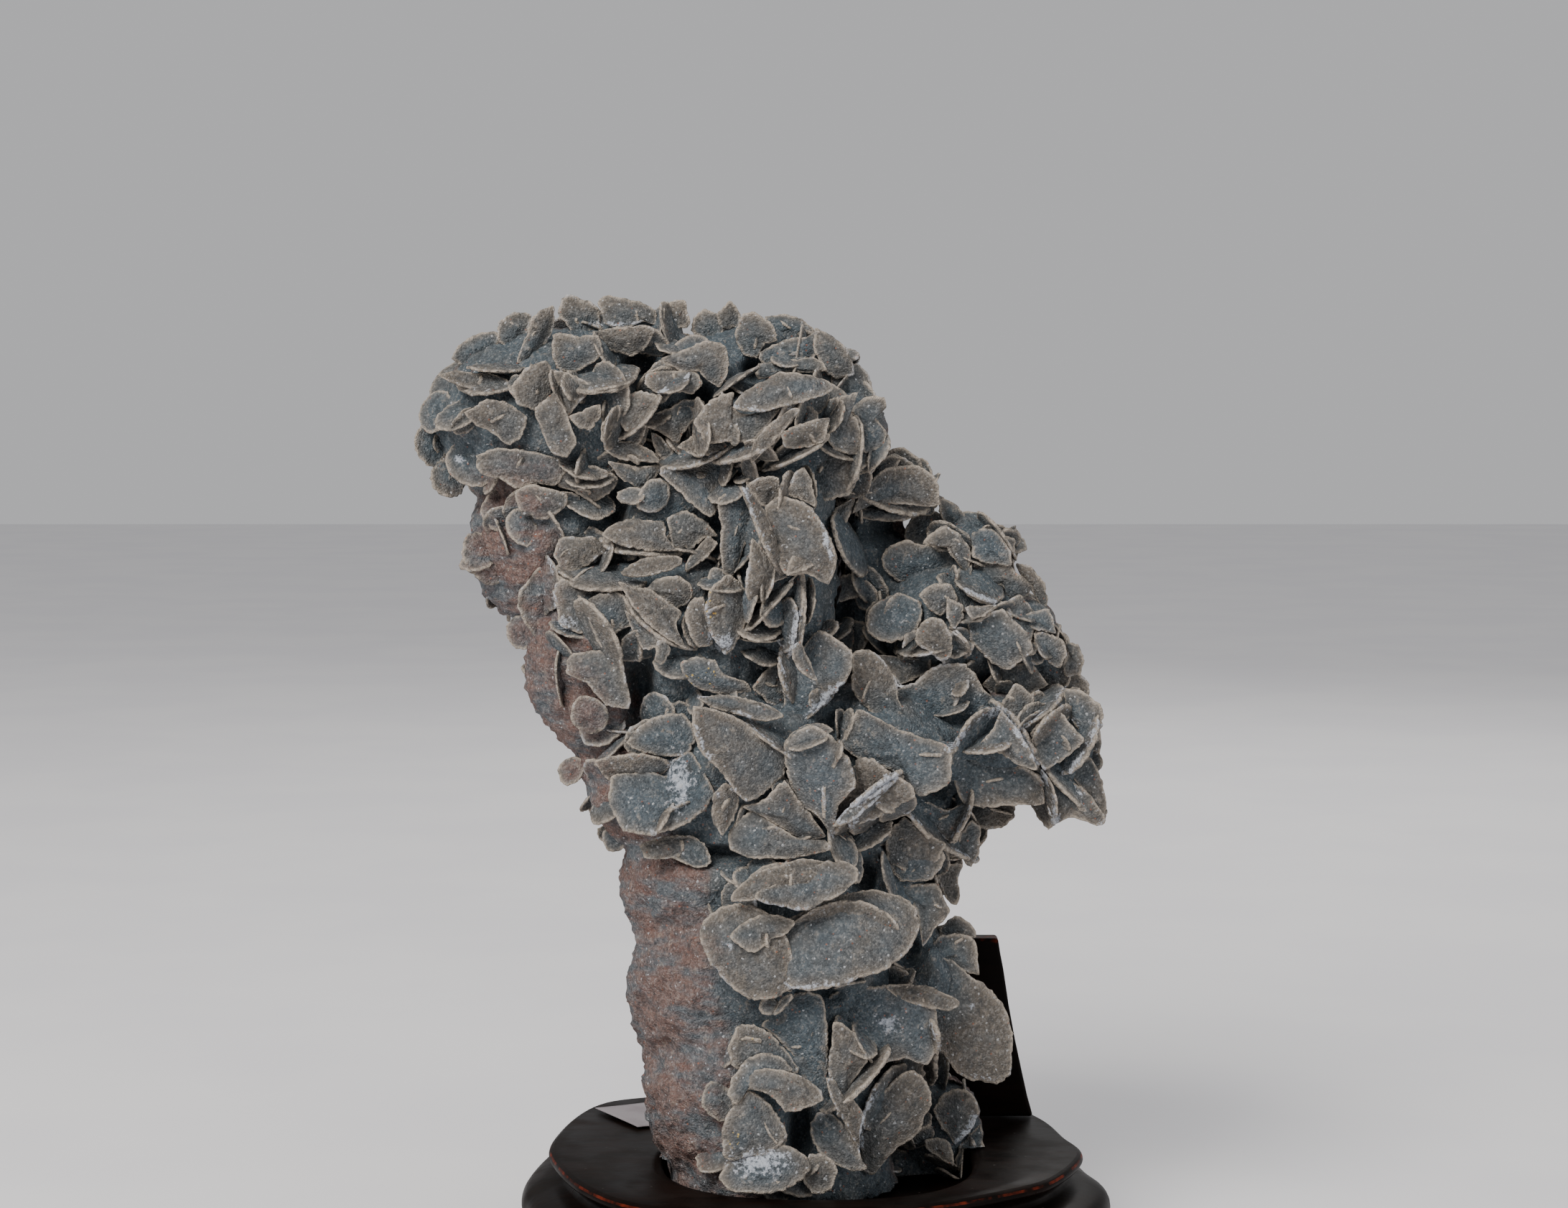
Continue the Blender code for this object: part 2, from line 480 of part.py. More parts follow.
# Support board: a tapered plank that stands behind the stone.
outline = bpy.data.curves.new("back_post", "CURVE")
outline.dimensions = "2D"
outline.fill_mode = "BOTH"
outline.extrude = board_thickness / 2 * mm
spline = outline.splines.new("POLY")
edge = board_edge + [(-x, z) for x, z in reversed(board_edge)]
spline.points.add(len(edge) - 1)
for point, (x, z) in zip(spline.points, edge):
    point.co = (x * mm, z * mm, 0, 1)
spline.use_cyclic_u = True
board = bpy.data.objects.new("back_post", outline)
board.location = (board_middle * mm, (board_front + board_thickness / 2) * mm, (stand_height + gap) * mm)
board.rotation_euler = (math.radians(90), 0, 0)
parts.objects.link(board)
modifier(board, "close", "WELD", merge_threshold=0.00001)
modifier(board, "soft_edges", "BEVEL", width=0.6 * mm, segments=1, limit_method="ANGLE")

# Label: a bare slip of paper on the stand.
along = Vector((math.cos(label_turn), math.sin(label_turn)))
across = Vector((along.y, -along.x))
middle = Vector(label_corner) + along * label_length / 2 + across * label_width / 2
bpy.ops.mesh.primitive_cube_add(size=1)
label = bpy.context.object
label.name = "paper_label"
label.data.name = "paper_label"
label.location = (middle.x * mm, middle.y * mm, (stand_height + 0.2 + label_thickness / 2) * mm)
label.rotation_euler = (0, 0, label_turn)
label.scale = (label_length * mm, label_width * mm, label_thickness * mm)
for collection in list(label.users_collection):
    collection.objects.unlink(label)
parts.objects.link(label)

stone.data.materials.append(material("sandy_gypsum", (0.25, 0.23, 0.21), 0.85))
stand.data.materials.append(material("dark_lacquered_wood", (0.035, 0.012, 0.008), 0.3, 0.6))
board.data.materials.append(material("dark_lacquered_board", (0.03, 0.01, 0.007), 0.35, 0.5))
label.data.materials.append(material("white_paper", (0.78, 0.76, 0.8), 0.7))
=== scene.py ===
# Looks of a gypsum sand rose on a dark lacquered stand: crystals, sandy ground mass, stand, board and label.
# Places on the stone are in millimetres across and up a plane square to the line of sight, with +y going back.
import math
import random

import bmesh
import bpy
import numpy as np
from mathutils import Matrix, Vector, noise


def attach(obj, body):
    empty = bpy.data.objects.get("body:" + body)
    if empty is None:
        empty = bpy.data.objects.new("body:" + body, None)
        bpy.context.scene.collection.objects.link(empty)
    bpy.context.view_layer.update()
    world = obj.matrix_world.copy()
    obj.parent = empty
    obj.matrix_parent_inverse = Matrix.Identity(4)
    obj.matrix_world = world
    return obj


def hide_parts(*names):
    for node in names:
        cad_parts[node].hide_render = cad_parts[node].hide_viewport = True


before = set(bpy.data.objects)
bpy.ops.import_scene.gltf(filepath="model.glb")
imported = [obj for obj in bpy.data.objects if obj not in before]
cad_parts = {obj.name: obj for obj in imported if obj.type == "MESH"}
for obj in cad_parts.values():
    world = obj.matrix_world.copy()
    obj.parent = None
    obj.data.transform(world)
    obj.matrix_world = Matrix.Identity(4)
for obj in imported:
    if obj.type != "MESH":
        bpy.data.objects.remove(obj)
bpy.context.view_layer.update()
print("frame loaded:", ", ".join(sorted(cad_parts)))

mm = 0.001
sight = {"eye": (-7.13, -647.0, 191.0), "distance": 658.2, "pitch": 4.5, "lens": 70.0, "sensor": 36.0}
eye = np.array(sight["eye"])
pitch = math.radians(sight["pitch"])
pitchCos, pitchSin = math.cos(pitch), math.sin(pitch)


def spot(across, up, depth):
    # The point seen at this place and lying at this depth, and the scale there.
    x, z = across / sight["distance"], up / sight["distance"]
    ray = np.stack([x + 0 * z, pitchCos + z * pitchSin + 0 * x, z * pitchCos - pitchSin + 0 * x], axis=-1)
    far = (depth - eye[1]) / ray[..., 1]
    return eye + far[..., None] * ray, far / sight["distance"]


def seenAt(points):
    line = points - eye
    far = line[..., 1] * pitchCos - line[..., 2] * pitchSin
    rise = line[..., 1] * pitchSin + line[..., 2] * pitchCos
    return line[..., 0] / far * sight["distance"], rise / far * sight["distance"]


# Ground mass: across, up, depth, then half sizes across, up and in depth.
ground = np.array([
    (0.0, -126.0, -6.0, 24.5, 14.0, 27.0), (-2.0, -107.0, -6.0, 28.0, 27.0, 26.5),
    (-3.5, -82.0, -5.0, 30.0, 30.0, 25.0), (-4.0, -60.0, -4.0, 31.5, 24.0, 24.0),
    (-8.0, -38.0, -4.0, 35.0, 22.0, 23.0), (-26.0, -12.0, 0.0, 30.0, 27.0, 21.0),
    (16.0, -34.0, -3.0, 27.0, 17.0, 20.0), (47.0, -30.0, -2.0, 14.0, 11.0, 12.0),
    (60.0, -32.0, -3.0, 7.0, 12.0, 9.0), (36.0, -5.0, 5.0, 17.0, 14.0, 14.0),
    (49.0, -8.0, 5.0, 11.0, 10.0, 10.0), (0.0, 10.0, -5.0, 12.5, 30.0, 17.0),
    (-2.0, 36.0, -2.0, 16.0, 14.0, 18.0), (-48.0, 39.5, 8.0, 28.0, 20.5, 19.0),
    (-50.0, 15.0, 8.0, 17.5, 21.0, 17.0), (-26.0, 19.0, 3.0, 17.0, 17.0, 14.0),
    (-18.0, 46.0, 8.0, 24.0, 12.0, 15.0), (-33.0, 55.0, 8.0, 12.0, 7.0, 9.0),
    (-8.0, 54.0, 9.0, 14.0, 6.5, 9.0), (7.0, 49.0, 7.0, 9.0, 8.0, 9.0),
    (23.0, 25.0, 9.0, 9.0, 6.0, 8.0), (40.0, 13.0, 8.0, 9.0, 6.0, 9.0),
    (17.0, 3.0, 13.0, 12.0, 22.0, 10.0), (22.0, -66.0, 0.0, 12.0, 20.0, 16.0),
    (34.0, -47.0, 3.0, 8.0, 10.0, 9.0), (30.0, -82.0, -4.0, 8.0, 12.0, 12.0),
    (13.0, 36.0, 1.0, 9.0, 11.0, 11.0), (33.0, -115.0, 9.0, 10.0, 13.0, 12.0),
])

# Crystals of the front: across, up, lift off the ground mass, half length, half width, turn of the long
# axis from level, tip of the face about it (0 faces the eye, 90 is edge on, above 0 faces up).
frontCrystals = [
    # Head, left part.
    (-36.5, 63.0, 3, 9.5, 7.0, 0, 55), (-33.0, 56.0, 2, 7.5, 6.0, 0, 50),
    (-66.0, 55.5, 1, 4.5, 4.0, 40, 25), (-51.5, 59.0, 3, 7.0, 5.0, 50, 70), (-47.0, 65.0, 1, 3.5, 3.0, 10, 30),
    (-58.0, 60.5, 0, 5.0, 4.0, -20, 30), (-43.0, 63.5, 0, 5.0, 4.0, 20, 40), (-47.0, 50.5, 2, 7.5, 6.0, 25, 40),
    (-41.5, 43.0, 3, 6.5, 5.0, -15, 50), (-57.0, 50.0, 2, 6.0, 5.0, 30, 60),
    (-62.0, 51.0, 3, 6.5, 5.0, 0, 74), (-64.5, 46.5, 3, 6.0, 5.0, -5, 72), (-71.0, 48.0, 1, 5.5, 4.5, -60, 25),
    (-75.0, 41.5, 0, 5.0, 4.5, 70, 30), (-76.0, 34.5, 0, 5.0, 4.0, -80, 25), (-70.0, 41.0, 2, 6.0, 5.0, 20, 50),
    (-55.0, 44.0, 3, 6.5, 4.5, -80, 50), (-60.0, 38.0, 2, 6.0, 5.0, 10, 30),
    (-38.5, 47.7, 4, 7.0, 5.5, 14, 72), (-37.8, 39.5, 4, 5.5, 5.0, 65, 74), (-48.0, 36.0, 2, 6.0, 5.0, -20, 40),
    (-54.0, 29.5, 2, 7.5, 5.5, 10, 45), (-66.0, 30.0, 1, 7.0, 5.0, -50, 35), (-33.5, 30.0, 2, 7.5, 5.5, 0, -50),
    (-43.0, 27.5, 3, 5.5, 4.5, -10, 74), (-72.5, 27.0, 0, 4.5, 4.0, -60, 20),
    # Head, top.
    (-25.5, 61.0, 2, 4.5, 4.0, 88, 70), (-18.5, 61.5, 1, 5.0, 4.5, -30, 30), (-12.0, 61.5, 1, 4.5, 4.0, 20, 30),
    (-5.5, 59.5, 2, 5.5, 4.5, -30, 45), (3.0, 57.5, 2, 6.5, 5.0, 20, 30), (10.0, 54.5, 1, 5.0, 4.5, -60, 30),
    (-17.5, 52.5, 5, 7.0, 6.0, 0, 30), (-25.0, 51.0, 3, 6.0, 5.0, 60, 35), (0.0, 53.0, 3, 6.5, 5.0, -7, 60),
    (-31.5, 42.5, 3, 6.0, 5.0, 38, 60), (-21.5, 41.5, 3, 6.5, 5.5, 10, 40), (-26.5, 34.5, 3, 6.0, 5.0, -10, 45),
    (-1.0, 45.7, 4, 11.5, 8.5, 6, 60), (-9.0, 40.0, 3, 9.5, 7.0, 5, 38),
    (-3.5, 35.5, 4, 9.5, 6.0, 49, 80), (4.5, 37.5, 3, 6.5, 5.5, 20, 50), (12.0, 41.0, 2, 7.0, 5.0, 78, 45),
    (3.0, 33.0, 4, 7.5, 6.0, 27, 74), (-20.0, 31.5, 3, 7.5, 5.5, 17, 74),
    (14.5, 47.5, 1, 5.5, 5.0, -50, 30), (19.0, 40.0, 0, 6.0, 5.0, 80, 30), (18.5, 33.0, 0, 5.5, 4.5, 60, 40),
    # Middle column.
    (-18.5, 25.0, 3, 9.5, 7.5, -35, 35), (-4.5, 26.0, 3, 6.5, 5.0, -10, 40),
    (5.0, 26.0, 3, 7.0, 4.5, -72, -50), (-3.5, 15.5, 5, 11.5, 7.0, -64, 58), (5.0, 15.0, 4, 10.5, 7.0, -60,
     -30),
    (5.5, 7.5, 3, 5.5, 4.5, 22, 60), (-11.5, 13.0, 3, 8.5, 5.5, 80, 55), (-6.5, 7.0, 4, 8.0, 5.0, 88, 70),
    (-29.5, 14.7, 4, 9.8, 7.0, 3, 62), (-29.5, 8.5, 3, 8.0, 5.5, 5, -60),
    (-28.5, -0.5, 4, 9.5, 6.0, -40, 42), (-18.0, -3.0, 3, 8.0, 7.0, -10, 25), (-12.0, -1.5, 3, 8.0, 5.5, -70,
     30),
    (-3.5, 0.0, 4, 8.0, 5.5, 49, 76), (3.0, -3.5, 4, 7.5, 5.0, 83, 70), (-4.5, -7.0, 3, 5.0, 4.5, 0, 76),
    (10.5, 22.0, 1, 6.0, 5.0, 60, 40), (13.5, 18.5, 0, 5.0, 4.0, 30, 45),
    # Left flank.
    (-50.0, 20.0, 2, 6.0, 4.5, 35, 45), (-42.0, 22.0, 2, 6.0, 5.0, -15, 45), (-64.5, 10.0, 0, 6.5, 5.0, -60,
     20),
    (-50.0, 1.5, 3, 9.5, 7.5, 60, 25), (-49.5, 4.5, 4, 6.5, 4.5, 88, 75), (-43.0, 5.5, 4, 7.0, 5.0, -18, 74),
    (-39.5, -3.0, 2, 7.0, 5.5, -50, 30), (-43.0, -13.5, 2, 6.0, 4.5, -10, 60),
    (-37.5, -19.0, 2, 7.0, 5.5, -50, 35), (-46.0, -36.0, 0, 3.5, 3.0, 60, 20),
    (-36.5, -50.5, 0, 3.0, 3.0, 70, 20), (-56.5, -6.0, 0, 4.0, 4.0, 80, 20),
    # Middle left.
    (-26.0, -28.5, 3, 8.5, 6.5, 20, 35), (-33.0, -37.0, 3, 8.5, 6.5, -5, 45), (-25.0, -41.0, 5, 11.0, 8.5, 35,
     30),
    (-19.5, -49.0, 3, 8.0, 6.5, 10, 35), (-27.0, -52.5, 1, 5.5, 4.0, -5, 50), (-12.7, -44.0, 4, 6.5, 4.5, 80,
     55),
    (-11.0, -31.0, 4, 11.5, 9.0, -45, 15), (-8.0, -22.0, 5, 8.5, 6.0, -12, 68), (-16.0, -15.5, 3, 7.5, 5.5, 0,
     35),
    (-4.0, -28.5, 5, 6.5, 5.5, -42, 78),
    (-4.0, -50.5, 3, 7.5, 6.0, -10, 35),
    # Middle.
    (3.0, -16.0, 4, 15.0, 9.5, 50, -20), (0.5, -17.5, 6, 5.5, 4.5, -85, 80), (20.5, -18.0, 4, 11.0, 7.5, -30,
     40),
    (34.0, -21.5, 5, 12.0, 9.5, 38, 20), (25.0, -31.0, 2, 14.0, 10.0, -28, 12), (20.0, -41.0, 3, 10.5, 8.0,
     -35, 20),
    (9.0, -33.0, 5, 10.5, 7.0, -55, 35), (3.5, -41.5, 4, 7.0, 5.5, -60, 72), (12.5, -44.0, 5, 10.0, 6.5, -78,
     50),
    (18.0, -41.5, 6, 6.5, 5.0, 40, 76), (19.0, -45.0, 6, 7.0, 5.0, 47, 76), (17.0, -49.5, 3, 7.0, 5.0, 20, 50),
    (13.5, -54.0, 3, 7.0, 4.5, -65, 50), (2.0, -45.5, 3, 8.0, 5.5, -28, 48), (3.0, -51.5, 2, 7.0, 5.0, -15, 60),
    # Right of the middle and the arm.
    (30.0, -52.5, 2, 9.0, 7.0, -30, 20), (33.5, -49.5, 4, 8.5, 5.5, -38, 76), (39.3, -47.0, 2, 6.0, 4.5, 72,
     72),
    (41.0, -52.0, 0, 7.0, 4.5, 85, 45), (36.0, -60.0, 1, 6.0, 4.5, -75, 40), (45.0, -44.5, -4, 5.0, 4.5, 0, 25),
    (45.5, -37.5, 2, 10.0, 7.0, 0, 22), (36.5, -36.0, 2, 6.5, 5.0, -82, 72), (50.8, -27.5, 4, 8.5, 6.0, -58,
     78),
    (45.0, -30.5, 4, 6.5, 5.0, 15, 74), (50.0, -18.5, 2, 6.0, 5.5, 0, 30), (55.0, -22.5, 4, 6.5, 5.0, 48, 76),
    (56.5, -27.0, 4, 6.0, 5.0, 47, 78), (62.5, -26.5, 4, 8.0, 5.5, -45, 76), (65.0, -30.0, 2, 8.5, 5.5, 60, 66),
    (64.5, -23.0, 2, 7.0, 5.5, -60, 25), (57.0, -42.0, 3, 7.0, 5.0, -75, 74), (62.5, -39.5, 4, 8.5, 5.5, -47,
     74),
    (62.0, -42.0, 1, 6.5, 5.5, -10, 15), (67.0, -41.0, 1, 7.0, 5.0, -75, 45), (51.0, -36.5, 4, 6.5, 4.5, -28,
     68),
    # Right cluster.
    (60.0, -12.5, 0, 7.0, 6.0, -60, 20), (48.0, -7.5, 3, 9.0, 7.0, -52, 20), (52.5, 4.0, 0, 6.5, 5.0, -45, 45),
    (46.0, 6.0, 2, 7.0, 5.5, 0, 50), (43.5, 12.5, 1, 6.0, 5.0, -40, 35), (36.0, 17.5, 1, 5.5, 5.0, 20, 35),
    (28.5, 9.5, 3, 8.5, 6.5, 5, 40), (36.0, 11.0, 2, 6.5, 5.0, -30, 50), (41.2, 2.6, 4, 5.5, 4.5, -27, 76),
    (37.5, 0.0, 3, 6.0, 4.5, -70, 72), (24.0, -3.0, 2, 6.5, 5.5, 30, 25), (31.5, -7.5, 3, 7.0, 5.5, -60, 25),
    (27.0, -11.5, 3, 6.5, 5.5, -10, 55), (18.0, -11.5, 2, 7.0, 5.0, -20, 35),
    (25.0, 24.0, 2, 9.0, 7.0, 5, 35), (25.0, 20.5, 4, 7.5, 5.5, 8, 74), (30.5, 16.0, 0, 5.0, 4.5, 30, 30),
    (56.0, -3.0, 0, 4.5, 4.0, -50, 30),
    # Lower stone.
    (2.5, -60.3, 6, 14.0, 7.5, 12, 45), (12.5, -73.0, 6, 17.8, 10.5, 12, 26), (12.0, -68.7, 9, 12.0, 7.0, 5,
     48),
    (-8.5, -75.5, 5, 11.5, 9.5, -40, 18), (-5.0, -71.0, 7, 8.0, 6.0, 15, 42), (-12.5, -66.5, 3, 6.5, 5.0, 35,
     40),
    (-17.5, -56.5, 1, 5.5, 4.5, -60, 30), (3.0, -91.5, 2, 10.5, 8.0, -50, 20), (19.5, -89.0, 2, 13.0, 10.0,
     -20, 15),
    (39.3, -92.3, 6, 14.5, 8.5, -51, 20), (35.5, -80.0, 3, 7.5, 5.5, -20, 35), (37.0, -74.0, 0, 7.5, 5.5, -50,
     25),
    (31.5, -67.0, 0, 7.0, 5.0, 60, 50), (26.0, -61.0, 1, 6.0, 4.5, -50, 55), (-2.5, -87.0, 3, 4.0, 3.5, -60,
     45),
    (-4.0, -97.5, 4, 8.0, 6.0, -58, 30), (-6.5, -103.0, 2, 8.5, 6.5, 55, 35), (0.5, -105.0, 5, 9.3, 6.0, -12,
     40),
    (-6.5, -113.0, 5, 9.5, 7.5, -52, 25), (-4.0, -122.0, 5, 10.5, 7.5, 8, 25), (14.0, -105.0, 3, 13.5, 7.0,
     -68, 40),
    (17.5, -101.5, 6, 8.5, 6.0, 54, 76), (22.0, -101.0, 5, 8.0, 5.5, 50, 72), (24.3, -111.5, 5, 12.3, 7.5, 53,
     22),
    (17.5, -113.0, 5, 7.0, 5.0, 84, 66), (27.5, -99.5, 4, 5.5, 4.5, -55, 30), (32.5, -102.0, 2, 7.5, 5.0, 80,
     60),
    (11.5, -116.0, 3, 7.5, 6.5, -45, 20), (7.0, -123.0, 3, 5.5, 4.5, 40, 30), (27.5, -121.0, 3, 6.0, 5.0, 10,
     30),
    (34.0, -117.0, 2, 6.0, 4.5, -60, 40), (37.5, -110.5, 0, 7.5, 6.0, 60, 25), (40.0, -118.5, 0, 7.0, 4.5, 85,
     40),
]

